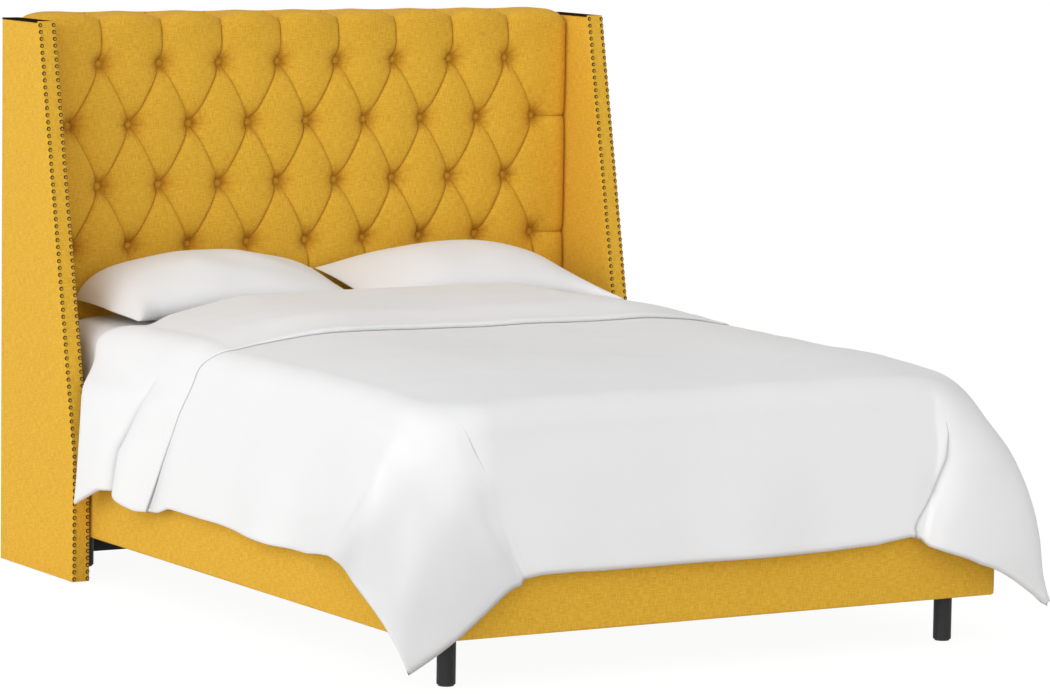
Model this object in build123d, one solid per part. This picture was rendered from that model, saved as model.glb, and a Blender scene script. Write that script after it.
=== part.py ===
from build123d import *
import os
from math import cos, hypot, pi, radians, sin

os.makedirs("parts", exist_ok=True)

# Bed as a whole, in millimetres, +Z up, head of the bed at +Y
headboard_height = 1422
fit_gap = 0.3
overrun = 10

# Mattress, a queen size, and how it sits in the frame
mattress_width = 1524
mattress_length = 2012
mattress_height = 370
mattress_corner = 100
mattress_edge = 50
mattress_side_gap = 4
mattress_foot_gap = 2
mattress_head_gap = 2
deck_height = 290

# Headboard, counted from its back
back_cover_thick = 2
back_cover_margin = 1
post_depth = 32
post_width = 89
post_base = 114
board_thick = 12
pad_crown = 128
pad_rise = 15
pad_bottom = 560
pad_cap_thick = 30
pad_front_round = 28
pad_back_round = 9
pad_side_round = 7
lower_panel_base = 330
lower_panel_gap = 4
cross_rail_height = 70

# Diamond tufting
button_rows = 4
long_row_count = 9
top_row_drop = 119
low_row_rise = 263
button_post_gap = 8
button_radius = 11
button_height = 6
button_sink = 35
dimple_radius = 40
dimple_floor = 12.5
groove_half_width = 22
groove_depth = 18
pleat_half_width = 12
pleat_depth = 10
twine_width = 2
twine_gap = 0.5
twine_knot = 4

# Wings
wing_thick = 48
wing_depth_top = 223
wing_depth_low = 444
wing_bend = 314
wing_skin = 3
wing_band = 4
wing_cap = 4
wing_stile = 45
wing_rungs = 6
wing_rung_height = 38
glide_height = 4
glide_radius = 13
glide_back_inset = 45
glide_front_inset = 40

# Side and foot rails
side_rail_thick = 23
wing_rail_gap = 5
rail_base = 114
rail_lip = 26
rail_cover = 3
foot_rail_thick = 28
foot_corner_round = 12

# Deck that carries the mattress
slat_count = 14
slat_width = 89
slat_thick = 19
slat_end_gap = 3
ledger_thick = 25
ledger_height = 45
beam_width = 70
beam_height = 45
head_rail_depth = 38
head_rail_height = 45
head_rail_back = 60
strap_width = 25
strap_thick = 1.5
strap_place = 420

# Legs and their fixings
leg_radius = 22
leg_side_inset = 77
leg_foot_inset = 75
leg_head_place = 190
leg_glide_height = 3
leg_glide_radius = 18
leg_edge = 2.5
block_width = 130
block_height = 40
block_foot_length = 118
hanger_radius = 4
hanger_in_leg = 45
hanger_in_block = 32
centre_leg_radius = 23
centre_leg_base = 24
centre_leg_shares = (0.32, 0.68)
level_disc_radius = 20
level_disc_height = 8
level_stem_radius = 4
level_stem_length = 42
level_bore_gap = 0.4
level_bore_room = 20

# Steel corner plates and bolts
plate_thick = 3
plate_reach = 60
plate_gap = 2
bolt_radius = 4
bolt_head_radius = 7
bolt_head_height = 4
bolt_length = 24
wing_bolt_grip = 30
wing_bolt_share = 0.6

# Duvet with its folded cuff
duvet_thick = 34
cuff_thick = 37
duvet_pillow_gap = 1.2
duvet_wing_gap = 6
head_slant_drop = 155
cuff_end = 1125
cuff_end_low = 900
cuff_crease = 676
duvet_rail_gap = 8
duvet_side_gap = 1.2
duvet_spread = 34
side_hem = 252
cuff_hem = 222
foot_hem = 263
corner_tip = 62
corner_flare = 24
corner_run_side = 400
corner_run_foot = 290
corner_nose = 30
edge_shares = ((0.732, 0), (0.268, 0.268), (0, 0.732))
fold_bulge = 14
hem_ease = 20

# Pillows
pillow_wing_gap = 52
pillow_depth = 370
pillow_thick = 150
pillow_seam = 12
pillow_draw = 26
pillow_tilt = 13
pillow_gap = 6
pillow_head_gap = 3
pillow_rest_gap = 0.4
pillow_end_shares = (0, 0.06, 0.2, 0.5, 0.8, 0.94, 1)
pillow_full_shares = (0, 0.46, 0.83, 1, 0.83, 0.46, 0)

# Sizes that follow from the ones above
mattress_half = mattress_width / 2
rail_inner = mattress_half + mattress_side_gap
rail_half = rail_inner + side_rail_thick + rail_cover
rail_top = deck_height + rail_lip
wing_inner = rail_half + wing_rail_gap
half_width = wing_inner + wing_thick
wing_lean = (wing_depth_low - wing_depth_top) / (headboard_height - wing_bend)
board_back = back_cover_thick + post_depth
board_front = board_back + board_thick
mattress_head = pad_crown + mattress_head_gap
mattress_foot = mattress_head + mattress_length
mattress_top = deck_height + mattress_height
foot_rail_inner = mattress_foot + mattress_foot_gap
bed_length = foot_rail_inner + foot_rail_thick
leg_foot_place = bed_length - leg_foot_inset
leg_side = rail_inner - leg_side_inset
pillow_length = wing_inner - pillow_gap / 2 - pillow_wing_gap
pillow_reach = pillow_depth * cos(radians(pillow_tilt)) + pillow_seam * sin(radians(pillow_tilt))
duvet_head = pad_crown + pillow_head_gap + pillow_reach + duvet_pillow_gap
duvet_head_side = wing_depth_low + duvet_wing_gap
head_slant_base = mattress_top - head_slant_drop
duvet_top = mattress_top + fit_gap + duvet_thick
duvet_reach = duvet_rail_gap + duvet_spread + duvet_thick + corner_flare
overall_length = bed_length + duvet_reach
back_y = overall_length / 2
pad_top = headboard_height + pad_rise
slat_base = deck_height - strap_thick - slat_thick
beam_base = slat_base - beam_height
beam_head = head_rail_back + head_rail_depth
plate_base = rail_base + block_height + plate_gap
plate_top = slat_base - max(ledger_height, head_rail_height) - plate_gap
pad_cap_base = pad_top - pad_cap_thick
pad_top_back = back_cover_thick + fit_gap
row_counts = [long_row_count - 1 + row % 2 for row in range(button_rows)]
button_pitch = 2 * (wing_inner - post_width - button_post_gap) / (long_row_count - 1)
top_row_height = headboard_height - top_row_drop
row_pitch = (top_row_height - pad_bottom - low_row_rise) / (button_rows - 1)


def block(x0, x1, d0, d1, z0, z1):
    """Box between two places across the bed, two distances from its back and two heights."""
    centre = ((x0 + x1) / 2, back_y - (d0 + d1) / 2, (z0 + z1) / 2)
    return Pos(*centre) * Box(abs(x1 - x0), abs(d1 - d0), abs(z1 - z0))


def prism(points, x0, x1):
    """Solid between two places across the bed, with a side outline of (distance, height)."""
    outline = Polyline([(back_y - d, z) for d, z in points], close=True)
    face = Plane.YZ.offset(min(x0, x1)) * make_face(outline)
    return extrude(face, amount=abs(x1 - x0), dir=(1, 0, 0))


def front_prism(points, d0, d1):
    """Solid between two distances from the back, with a front outline of (x, height)."""
    outline = Polyline([(x, z) for x, z in points], close=True)
    face = Plane.XZ.offset(d1 - back_y) * make_face(outline)
    return extrude(face, amount=d1 - d0, dir=(0, 1, 0))


def upright(x, d, z0, z1, radius):
    """Round bar standing at x and distance d, between two heights."""
    return Pos(x, back_y - d, (z0 + z1) / 2) * Cylinder(radius, z1 - z0)


def mirrored(part):
    """The same piece on the other side of the bed."""
    return mirror(part, about=Plane.YZ)


def bolt(start, direction, length):
    """Hexagon-headed bolt whose head sits outside start and whose shank runs along direction."""
    head = extrude(RegularPolygon(bolt_head_radius, 6), amount=-bolt_head_height)
    shank = extrude(Circle(bolt_radius), amount=length)
    return Plane(origin=start, z_dir=direction) * (head + shank)


def bolt_hole(start, direction, length):
    """Clearance hole for a bolt, open towards its head."""
    hole = extrude(Circle(bolt_radius + fit_gap), amount=length + overrun)
    return Plane(origin=start, z_dir=direction) * Pos(0, 0, -overrun / 2) * hole


# Headboard carcass
def headboard_post():
    post = block(wing_inner - post_width, wing_inner, back_cover_thick, board_back, post_base, pad_cap_base)
    for start, direction, length in wing_bolts_at() + [plate_bolts_at("head")[1]]:
        post -= bolt_hole(start, direction, length)
    return post


def cross_rail_middles():
    """Heights of the four cross rails, which keep clear of the button rows."""
    half = cross_rail_height / 2
    between_rows = top_row_height - (button_rows - 3 / 2) * row_pitch
    return [post_base + half, pad_bottom, between_rows, pad_cap_base - half]


def headboard_cross_rails():
    span = wing_inner - post_width
    half = cross_rail_height / 2
    rails = [block(-span, span, back_cover_thick, board_back, z - half, z + half) for z in cross_rail_middles()]
    return Compound(rails)


def headboard_back_cover():
    reach = half_width - back_cover_margin
    return block(-reach, reach, 0, back_cover_thick, glide_height, headboard_height - back_cover_margin)


def lower_headboard_panel():
    top = pad_bottom - lower_panel_gap
    panel = block(-rail_inner, rail_inner, board_back, board_front, lower_panel_base, top)
    return fillet(panel.edges().filter_by(Axis.X).group_by(Axis.Y)[0], board_thick / 3)


def button_places():
    """Middle of each tuft button as (x, height), top row first."""
    places = []
    for row, count in enumerate(row_counts):
        for index in range(count):
            x = (index - (count - 1) / 2) * button_pitch
            places.append((x, top_row_height - row * row_pitch))
    return places


def twine_bars(width, d0, d1):
    """One square bar behind each button, between two distances from the back."""
    half = width / 2
    return [block(x - half, x + half, d0, d1, z - half, z + half) for x, z in button_places()]


def tuft_board():
    edge = wing_inner - fit_gap
    board = block(-edge, edge, board_back, board_front, pad_bottom, pad_cap_base)
    return board - twine_bars(twine_width + 2 * twine_gap, board_back - overrun, board_front + overrun)


def groove(x0, z0, x1, z1, half, depth):
    """Wedge that cuts a straight crease into the front of the pad between two points."""
    length = hypot(x1 - x0, z1 - z0)
    along = ((x1 - x0) / length, 0, (z1 - z0) / length)
    across = (-along[2], 0, along[0])
    mouth = half * (depth + overrun) / depth
    wedge = make_face(Polyline([(-mouth, overrun), (mouth, overrun), (0, -depth)], close=True))
    start = Plane(origin=(x0, back_y - pad_crown, z0), x_dir=across, z_dir=along)
    return extrude(start * wedge, amount=length, dir=along)


def diamond_grooves():
    """Creases between each button and its neighbours in the row below."""
    grooves = []
    for row in range(button_rows - 1):
        z0 = top_row_height - row * row_pitch
        count = row_counts[row]
        below = row_counts[row + 1]
        for index in range(count):
            x = (index - (count - 1) / 2) * button_pitch
            for side in (-1, 1):
                other = x + side * button_pitch / 2
                if abs(other) <= (below - 1) / 2 * button_pitch + overrun:
                    grooves.append(groove(x, z0, other, z0 - row_pitch, groove_half_width, groove_depth))
    return grooves


def straight_pleats():
    """Creases that run from the outer buttons to the top, the bottom and the two sides."""
    pleats = []
    top_count, low_count = row_counts[0], row_counts[-1]
    low_row = top_row_height - (button_rows - 1) * row_pitch
    for index in range(top_count):
        x = (index - (top_count - 1) / 2) * button_pitch
        pleats.append(groove(x, top_row_height, x, pad_top + overrun, pleat_half_width, pleat_depth))
    for index in range(low_count):
        x = (index - (low_count - 1) / 2) * button_pitch
        pleats.append(groove(x, low_row, x, pad_bottom - overrun, pleat_half_width, pleat_depth))
    for row, count in enumerate(row_counts):
        x = (count - 1) / 2 * button_pitch
        z = top_row_height - row * row_pitch
        if count == long_row_count:
            pleats.append(groove(x, z, wing_inner + overrun, z, pleat_half_width, pleat_depth))
            pleats.append(groove(-x, z, -wing_inner - overrun, z, pleat_half_width, pleat_depth))
    return pleats


def dimples():
    """Hollows that the buttons pull into the pad."""
    cone = Cone(dimple_floor, dimple_radius, button_sink + button_height)
    turn = Rot(90, 0, 0)
    middle = back_y - pad_crown + (button_sink + button_height) / 2
    return [Pos(x, middle, z) * turn * cone for x, z in button_places()]


def tufted_pad():
    edge = wing_inner - fit_gap
    side = [(board_front, pad_bottom), (pad_crown, pad_bottom), (pad_crown, pad_top)]
    side += [(pad_top_back, pad_top), (pad_top_back, pad_cap_base), (board_front, pad_cap_base)]
    pad = prism(side, -edge, edge)
    pad = fillet(pad.edges().filter_by(Axis.X).group_by(Axis.Y)[0], pad_front_round)
    long_edges = pad.edges().filter_by(Axis.X)
    back_top = long_edges.group_by(Axis.Y)[-1].sort_by(Axis.Z)[-1]
    pad = fillet(back_top, pad_back_round)
    sides = pad.edges().filter_by(Axis.Z).group_by(Axis.Y)[0]
    pad = chamfer(sides, pad_side_round)
    pad -= diamond_grooves()
    pad -= straight_pleats()
    pad -= dimples()
    return pad - twine_bars(twine_width + 2 * twine_gap, board_front - overrun, pad_crown)


def tuft_buttons():
    seat = back_y - pad_crown + button_sink + button_height
    sphere_radius = (button_radius**2 + button_height**2) / (2 * button_height)
    dome = Pos(0, seat - fit_gap + sphere_radius - button_height, 0) * Sphere(sphere_radius)
    depth = button_height + 2 * sphere_radius
    cut = Pos(0, seat - fit_gap - depth / 2, 0) * Box(3 * button_radius, depth, 3 * button_radius)
    button = dome & cut
    return Compound([Pos(x, 0, z) * button for x, z in button_places()])


def button_twines():
    seat = pad_crown - button_sink - button_height
    return Compound(twine_bars(twine_width, board_back - twine_knot, seat - fit_gap))


# Wings
def front_at(z):
    """Distance of the wing's front edge from the back of the bed at height z."""
    return wing_depth_low - max(z - wing_bend, 0) * wing_lean


def wing_outline(back_in, front_in, base, top):
    """Side outline of a wing, drawn in at the back and front, between two heights."""
    heights = [base, wing_bend, top]
    front = [(front_at(z) - front_in, z) for z in heights]
    return [(back_in, base)] + front + [(back_in, top)]


def wing_frame():
    inner = wing_inner + wing_skin
    outer = half_width - wing_skin
    top = headboard_height - wing_cap
    frame = prism(wing_outline(back_cover_thick, wing_band, glide_height, top), inner, outer)
    pitch = (top - glide_height - wing_rung_height) / wing_rungs
    for index in range(wing_rungs):
        z0 = glide_height + wing_rung_height + index * pitch
        z1 = z0 + pitch - wing_rung_height
        inset = wing_band + wing_stile
        back = back_cover_thick + wing_stile
        window = [(back, z0), (front_at(z0) - inset, z0)]
        if z0 < wing_bend < z1:
            window.append((wing_depth_low - inset, wing_bend))
        window += [(front_at(z1) - inset, z1), (back, z1)]
        frame -= prism(window, inner - overrun, outer + overrun)
    for start, direction, length in wing_bolts_at():
        frame -= bolt_hole(start, direction, length)
    return frame


def wing_panel(x0, x1):
    """Upholstered skin of a wing's inner or outer face."""
    top = headboard_height - wing_cap
    panel = prism(wing_outline(back_cover_thick, wing_band, glide_height, top), x0, x1)
    if min(x0, x1) < half_width - wing_thick / 2:
        for start, direction, length in wing_bolts_at():
            panel -= bolt_hole(start, direction, length)
    return panel


def wing_front_band():
    side = [(front_at(z), z) for z in (glide_height, wing_bend, headboard_height)]
    side += [(front_at(z) - wing_band, z) for z in (headboard_height, wing_bend, glide_height)]
    return prism(side, wing_inner, half_width)


def wing_top_cap():
    front = wing_depth_top - wing_band
    cap = block(wing_inner, half_width, back_cover_thick, front, headboard_height - wing_cap, headboard_height)
    return fillet(cap.edges().filter_by(Axis.Y).group_by(Axis.Z)[-1], wing_cap / 3)


def wing_glides():
    x = half_width - wing_thick / 2
    places = (glide_back_inset, wing_depth_low - glide_front_inset)
    return Compound([upright(x, d, 0, glide_height, glide_radius) for d in places])


def wing_bolts_at():
    """Start, direction and length of the bolts from a headboard post into its wing."""
    start_x = wing_inner - post_width
    d = back_cover_thick + post_depth / 2
    length = post_width + wing_bolt_grip
    rails = cross_rail_middles()
    heights = [low + (high - low) * wing_bolt_share for low, high in zip(rails, rails[1:])]
    return [((start_x, back_y - d, z), (1, 0, 0), length) for z in heights]


def wing_bolts(side):
    bolts = [bolt(*place) for place in wing_bolts_at()]
    return Compound([mirrored(item) if side < 0 else item for item in bolts])


# Rails
def side_rail():
    outer = rail_half - rail_cover
    rail = block(rail_inner, outer, board_back, foot_rail_inner, rail_base + rail_cover, rail_top - rail_cover)
    for end in ("head", "foot"):
        rail -= bolt_hole(*plate_bolts_at(end)[0])
    return rail


def side_rail_cover():
    outer = rail_half
    shell = block(rail_inner, outer, board_back, foot_rail_inner, rail_base, rail_top)
    low, high = rail_base + rail_cover, rail_top - rail_cover
    hollow = block(rail_inner - overrun, outer - rail_cover, board_back - overrun, foot_rail_inner + overrun, low, high)
    return shell - hollow


def foot_rail():
    outer = rail_half - rail_cover
    front = bed_length - rail_cover
    rail = block(-outer, outer, foot_rail_inner, front, rail_base + rail_cover, rail_top - rail_cover)
    rail = fillet(rail.edges().filter_by(Axis.Z).group_by(Axis.Y)[0], foot_corner_round - rail_cover)
    hole = bolt_hole(*plate_bolts_at("foot")[1])
    return rail - hole - mirrored(hole)


def foot_rail_cover():
    shell = block(-rail_half, rail_half, foot_rail_inner, bed_length, rail_base, rail_top)
    shell = fillet(shell.edges().filter_by(Axis.Z).group_by(Axis.Y)[0], foot_corner_round)
    outer = rail_half - rail_cover
    low, high = rail_base + rail_cover, rail_top - rail_cover
    hollow = block(-outer, outer, foot_rail_inner - overrun, bed_length - rail_cover, low, high)
    hollow = fillet(hollow.edges().filter_by(Axis.Z).group_by(Axis.Y)[0], foot_corner_round - rail_cover)
    return shell - hollow


def plate_bolts_at(end):
    """The two bolts of a corner plate: into the side rail, and into the post or foot rail."""
    z = (plate_base + plate_top) / 2
    middle = plate_thick + (plate_reach - plate_thick) / 2
    x_face = rail_inner - plate_thick
    if end == "head":
        side = ((x_face, back_y - board_back - middle, z), (1, 0, 0), rail_half - rail_cover - rail_inner)
        cross = ((rail_inner - middle, back_y - board_back - plate_thick, z), (0, 1, 0), bolt_length)
    else:
        side = ((x_face, back_y - foot_rail_inner + middle, z), (1, 0, 0), rail_half - rail_cover - rail_inner)
        cross = ((rail_inner - middle, back_y - foot_rail_inner + plate_thick, z), (0, -1, 0), bolt_length)
    return [side, cross]


def corner_plate(end):
    """Bent steel plate that joins the side rail to the post or to the foot rail."""
    x_face = rail_inner - plate_thick
    if end == "head":
        near, far, turn = board_back, board_back + plate_reach, board_back + plate_thick
    else:
        near, far, turn = foot_rail_inner, foot_rail_inner - plate_reach, foot_rail_inner - plate_thick
    plate = block(x_face, rail_inner, near, far, plate_base, plate_top)
    plate += block(rail_inner - plate_reach, x_face, near, turn, plate_base, plate_top)
    for place in plate_bolts_at(end):
        plate -= bolt_hole(*place)
    return plate


def rail_plates(end):
    plate = corner_plate(end)
    return Compound([plate, mirrored(plate)])


def rail_bolts(end):
    bolts = [bolt(*place) for place in plate_bolts_at(end)]
    return Compound(bolts + [mirrored(item) for item in bolts])


# Deck
def head_cross_rail():
    top = slat_base
    return block(-rail_inner, rail_inner, head_rail_back, beam_head, top - head_rail_height, top)


def slat_ledger():
    inner = rail_inner - ledger_thick
    return block(inner, rail_inner, beam_head, foot_rail_inner, slat_base - ledger_height, slat_base)


def slats():
    half = rail_inner - slat_end_gap
    pitch = (mattress_length - slat_width) / (slat_count - 1)
    laid = []
    for index in range(slat_count):
        near = mattress_head + index * pitch
        laid.append(block(-half, half, near, near + slat_width, slat_base, deck_height - strap_thick))
    return Compound(laid)


def slat_straps():
    straps = []
    top = deck_height - strap_thick
    for side in (-1, 1):
        inner = side * strap_place - strap_width / 2
        straps.append(block(inner, inner + strap_width, mattress_head, mattress_foot, top, deck_height))
    return Compound(straps)


def centre_beam():
    half = beam_width / 2
    return block(-half, half, beam_head, foot_rail_inner, beam_base, slat_base)


def centre_leg_place(share):
    return beam_head + (foot_rail_inner - beam_head) * share


def centre_leg(share):
    d = centre_leg_place(share)
    leg = upright(0, d, centre_leg_base, beam_base, centre_leg_radius)
    bore_top = level_disc_height + level_stem_length + level_bore_room
    return leg - upright(0, d, centre_leg_base - overrun, bore_top, level_stem_radius + level_bore_gap)


def levelling_foot(share):
    d = centre_leg_place(share)
    disc = upright(0, d, 0, level_disc_height, level_disc_radius)
    disc = chamfer(disc.edges().group_by(Axis.Z)[-1], level_disc_height / 3)
    stem_top = level_disc_height + level_stem_length
    return disc + upright(0, d, level_disc_height / 2, stem_top, level_stem_radius)


# Corner legs
def leg_places():
    return {"front": leg_foot_place, "rear": leg_head_place}


def leg(d):
    bar = upright(leg_side, d, leg_glide_height, rail_base, leg_radius)
    bar = fillet(bar.edges().group_by(Axis.Z)[0], leg_edge)
    return bar - upright(leg_side, d, rail_base - hanger_in_leg, rail_base + overrun, hanger_radius + fit_gap)


def leg_glide(d):
    return upright(leg_side, d, 0, leg_glide_height, leg_glide_radius)


def hanger_bolt(d):
    return upright(leg_side, d, rail_base - hanger_in_leg + fit_gap, rail_base + hanger_in_block, hanger_radius)


def corner_block(end):
    x0 = rail_inner - block_width
    if end == "front":
        d0, d1 = foot_rail_inner - block_foot_length, foot_rail_inner
    else:
        d0, d1 = beam_head, 2 * leg_head_place - beam_head
    piece = block(x0, rail_inner, d0, d1, rail_base, rail_base + block_height)
    d = leg_places()[end]
    return piece - upright(leg_side, d, rail_base - overrun, rail_base + block_height + overrun, hanger_radius + fit_gap)


# Mattress
def mattress():
    body = block(-mattress_half, mattress_half, mattress_head, mattress_foot, deck_height, mattress_top)
    body = fillet(body.edges().filter_by(Axis.Z), mattress_corner)
    body = fillet(body.edges().group_by(Axis.Z)[0], mattress_edge / 2)
    return fillet(body.edges().group_by(Axis.Z)[-1], mattress_edge)


# Duvet
def drape_outline(z, half, foot, head, flare, nose, bulge):
    """Level outline of the hanging duvet: two soft folds by the cuff, then a flared corner."""
    least = fit_gap * 2
    run_side, run_foot = corner_run_side, corner_run_foot
    tip_x, tip_d = half + flare, foot + flare
    bow = flare / 3 + least
    soft = nose * (1 - cos(pi / 4))
    right = [
        ("arc", (half + bulge + least, (head + cuff_crease) / 2), (half, cuff_crease)),
        ("arc", (half + bulge + least, (cuff_crease + cuff_end_low) / 2), (half, cuff_end_low)),
        ("line", None, (half, foot - run_side)),
        ("arc", ((half + tip_x) / 2 - bow, foot - (run_side + nose) / 2), (tip_x, tip_d - nose)),
        ("arc", (tip_x - soft, tip_d - soft), (tip_x - nose, tip_d)),
        ("arc", (half - (run_foot + nose) / 2, (foot + tip_d) / 2 - bow), (half - run_foot, foot)),
    ]
    edges = []
    here = (half, head)
    for kind, middle, there in right:
        edges.append((kind, here, middle, there))
        here = there
    flipped = []
    for kind, start, middle, end in reversed(edges):
        turned = (-middle[0], middle[1]) if middle else None
        flipped.append((kind, (-end[0], end[1]), turned, (-start[0], start[1])))
    joined = edges + [("line", here, None, (-here[0], here[1]))] + flipped
    joined.append(("line", (-half, head), None, (half, head)))
    wires = []
    for kind, start, middle, end in joined:
        points = [(x, back_y - d) for x, d in (start, end)]
        if kind == "line":
            wires.append(Line(*points))
        else:
            wires.append(ThreePointArc(points[0], (middle[0], back_y - middle[1]), points[1]))
    return Pos(0, 0, z) * make_face(Wire(wires))


def drape_levels(grow, head):
    """Outlines from below the lowest corner up to the top, grown outwards by a thickness."""
    top = mattress_top + fit_gap + grow
    inner_half = mattress_half + duvet_side_gap
    inner_foot = mattress_foot + duvet_side_gap
    rail_x = rail_half + duvet_rail_gap
    rail_d = bed_length + duvet_rail_gap
    mid = (rail_top + top) / 2
    nose = mattress_corner + grow
    edge = mattress_edge + grow
    rows = [
        (corner_tip, rail_x + duvet_spread, rail_d + duvet_spread, corner_flare, corner_nose + grow / 2, fold_bulge),
        (rail_top, rail_x, rail_d, corner_flare / 2, (corner_nose + nose) / 2, fold_bulge / 2),
        (mid, (rail_x + inner_half) / 2, (rail_d + inner_foot) / 2, corner_flare / 6, nose, fold_bulge / 4),
    ]
    for drop, inset in edge_shares:
        draw = edge * inset
        rows.append((top - edge * drop, inner_half - draw, inner_foot - draw, 0, nose - draw, 0))
    return [drape_outline(z, half + grow, foot + grow, head, flare, radius, bulge)
            for z, half, foot, flare, radius, bulge in rows]


def drape_form(grow, head):
    return loft(drape_levels(grow, head), ruled=True)


def cuff_zone(wide):
    """Side outline of the folded-back part, whose free edge slants towards the head below."""
    high = duvet_top + cuff_thick + overrun
    low = corner_tip - 2 * overrun
    side = [(0, low), (cuff_end_low, low), (cuff_end_low, side_hem)]
    side += [(cuff_end, mattress_top), (cuff_end, high), (0, high)]
    return prism(side, -wide, wide)


def head_cut(wide):
    """What the duvet leaves free at the head: the pillows above and the wings' front edges below."""
    high = duvet_top + cuff_thick + overrun
    low = corner_tip - 2 * overrun
    side = [(0, low), (duvet_head_side, low), (duvet_head_side, head_slant_base)]
    side += [(duvet_head, mattress_top), (duvet_head, high), (0, high)]
    return prism(side, -wide, wide)


def side_hem_cut(wide):
    """What lies below the side hems, which fall to the two foot corners."""
    low = corner_tip - 2 * overrun
    end = overall_length + overrun
    begin = bed_length - corner_run_side
    side = [(0, low), (0, cuff_hem), (cuff_end_low, cuff_hem), (cuff_end_low, side_hem), (begin, side_hem)]
    side += [(bed_length - corner_run_side / 2, (side_hem + corner_tip) / 2 + hem_ease)]
    side += [(bed_length + duvet_rail_gap, corner_tip), (end, corner_tip), (end, low)]
    return prism(side, -wide, wide)


def foot_hem_cut():
    """What lies below the foot hem, which falls to the two foot corners."""
    low = corner_tip - 2 * overrun
    tip = rail_half + duvet_rail_gap
    start = tip - corner_run_foot + hem_ease
    wide = half_width + duvet_reach
    front = [(-wide, low), (-wide, corner_tip), (-tip, corner_tip), (-start, foot_hem)]
    front += [(start, foot_hem), (tip, corner_tip), (wide, corner_tip), (wide, low)]
    return front_prism(front, cuff_end_low, overall_length + overrun)


def duvet():
    wide = half_width + duvet_reach
    cover = drape_form(duvet_thick, 0)
    cover += drape_form(duvet_thick + cuff_thick, 0) & cuff_zone(wide)
    cover -= drape_form(0, -overrun)
    cover -= head_cut(wide)
    cover -= side_hem_cut(wide)
    return cover - foot_hem_cut()


# Pillows
def pillow():
    """Cushion with a full middle, thin sewn edges and sides that draw in between its corners."""
    sections = []
    for place, full in zip(pillow_end_shares, pillow_full_shares):
        x = place * pillow_length - pillow_length / 2
        half = pillow_depth / 2 - pillow_draw * full
        thick = pillow_seam + (pillow_thick - pillow_seam) * full
        ends = [(-half, -pillow_seam / 2), (half, -pillow_seam / 2), (half, pillow_seam / 2), (-half, pillow_seam / 2)]
        crown = thick / 2 + fit_gap
        lower = ThreePointArc(ends[0], (0, -crown), ends[1])
        front = Line(ends[1], ends[2])
        upper = ThreePointArc(ends[2], (0, crown), ends[3])
        back = Line(ends[3], ends[0])
        sections.append(Plane.YZ.offset(x) * make_face(Wire([lower, front, upper, back])))
    return loft(sections)


def laid_pillow(side):
    """Pillow leaning on the headboard, its front edge low on the mattress."""
    piece = Rot(pillow_tilt, 0, 0) * pillow()
    box = piece.bounding_box()
    x = side * (pillow_length / 2 + pillow_gap / 2)
    y = back_y - pad_crown - pillow_head_gap - box.max.Y
    z = mattress_top + pillow_rest_gap - box.min.Z
    return Pos(x, y, z) * piece


def both_sides(name, piece):
    """The same piece for the right side as made and for the left side mirrored."""
    return {name + "_right": piece, name + "_left": mirrored(piece)}


def bed_pieces():
    pieces = {}
    pieces.update(both_sides("headboard_post", headboard_post()))
    pieces["headboard_cross_rails"] = headboard_cross_rails()
    pieces["headboard_back_cover"] = headboard_back_cover()
    pieces["lower_headboard_panel"] = lower_headboard_panel()
    pieces["tuft_board"] = tuft_board()
    pieces["tufted_pad"] = tufted_pad()
    pieces["tuft_buttons"] = tuft_buttons()
    pieces["button_twines"] = button_twines()
    pieces.update(both_sides("wing_frame", wing_frame()))
    pieces.update(both_sides("wing_outer_panel", wing_panel(half_width - wing_skin, half_width)))
    pieces.update(both_sides("wing_inner_panel", wing_panel(wing_inner, wing_inner + wing_skin)))
    pieces.update(both_sides("wing_front_band", wing_front_band()))
    pieces.update(both_sides("wing_top_cap", wing_top_cap()))
    pieces.update(both_sides("wing_glides", wing_glides()))
    pieces["wing_bolts_right"] = wing_bolts(1)
    pieces["wing_bolts_left"] = wing_bolts(-1)
    pieces.update(both_sides("side_rail", side_rail()))
    pieces.update(both_sides("side_rail_cover", side_rail_cover()))
    pieces["foot_rail"] = foot_rail()
    pieces["foot_rail_cover"] = foot_rail_cover()
    for end in ("head", "foot"):
        pieces[end + "_corner_plates"] = rail_plates(end)
        pieces[end + "_plate_bolts"] = rail_bolts(end)
    pieces["head_cross_rail"] = head_cross_rail()
    pieces.update(both_sides("slat_ledger", slat_ledger()))
    pieces["slats"] = slats()
    pieces["slat_straps"] = slat_straps()
    pieces["centre_beam"] = centre_beam()
    for end, share in zip(("head", "foot"), centre_leg_shares):
        pieces["centre_leg_" + end] = centre_leg(share)
        pieces["levelling_foot_" + end] = levelling_foot(share)
    for end, d in leg_places().items():
        pieces.update(both_sides("leg_" + end, leg(d)))
        pieces.update(both_sides("leg_glide_" + end, leg_glide(d)))
    bolts = [hanger_bolt(d) for d in leg_places().values()]
    blocks = [corner_block(end) for end in leg_places()]
    pieces["hanger_bolts"] = Compound(bolts + [mirrored(item) for item in bolts])
    pieces["corner_blocks"] = Compound(blocks + [mirrored(item) for item in blocks])
    pieces["mattress"] = mattress()
    pieces["duvet"] = duvet()
    pieces["pillow_right"] = laid_pillow(1)
    pieces["pillow_left"] = laid_pillow(-1)
    return pieces


for name, piece in bed_pieces().items():
    export_step(piece, "parts/" + name + ".step")
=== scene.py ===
from math import cos, pi, radians, sin

import bmesh
import bpy
import numpy as np
from bpy.props import FloatProperty, FloatVectorProperty, IntProperty, PointerProperty
from mathutils import Matrix, Vector


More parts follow.
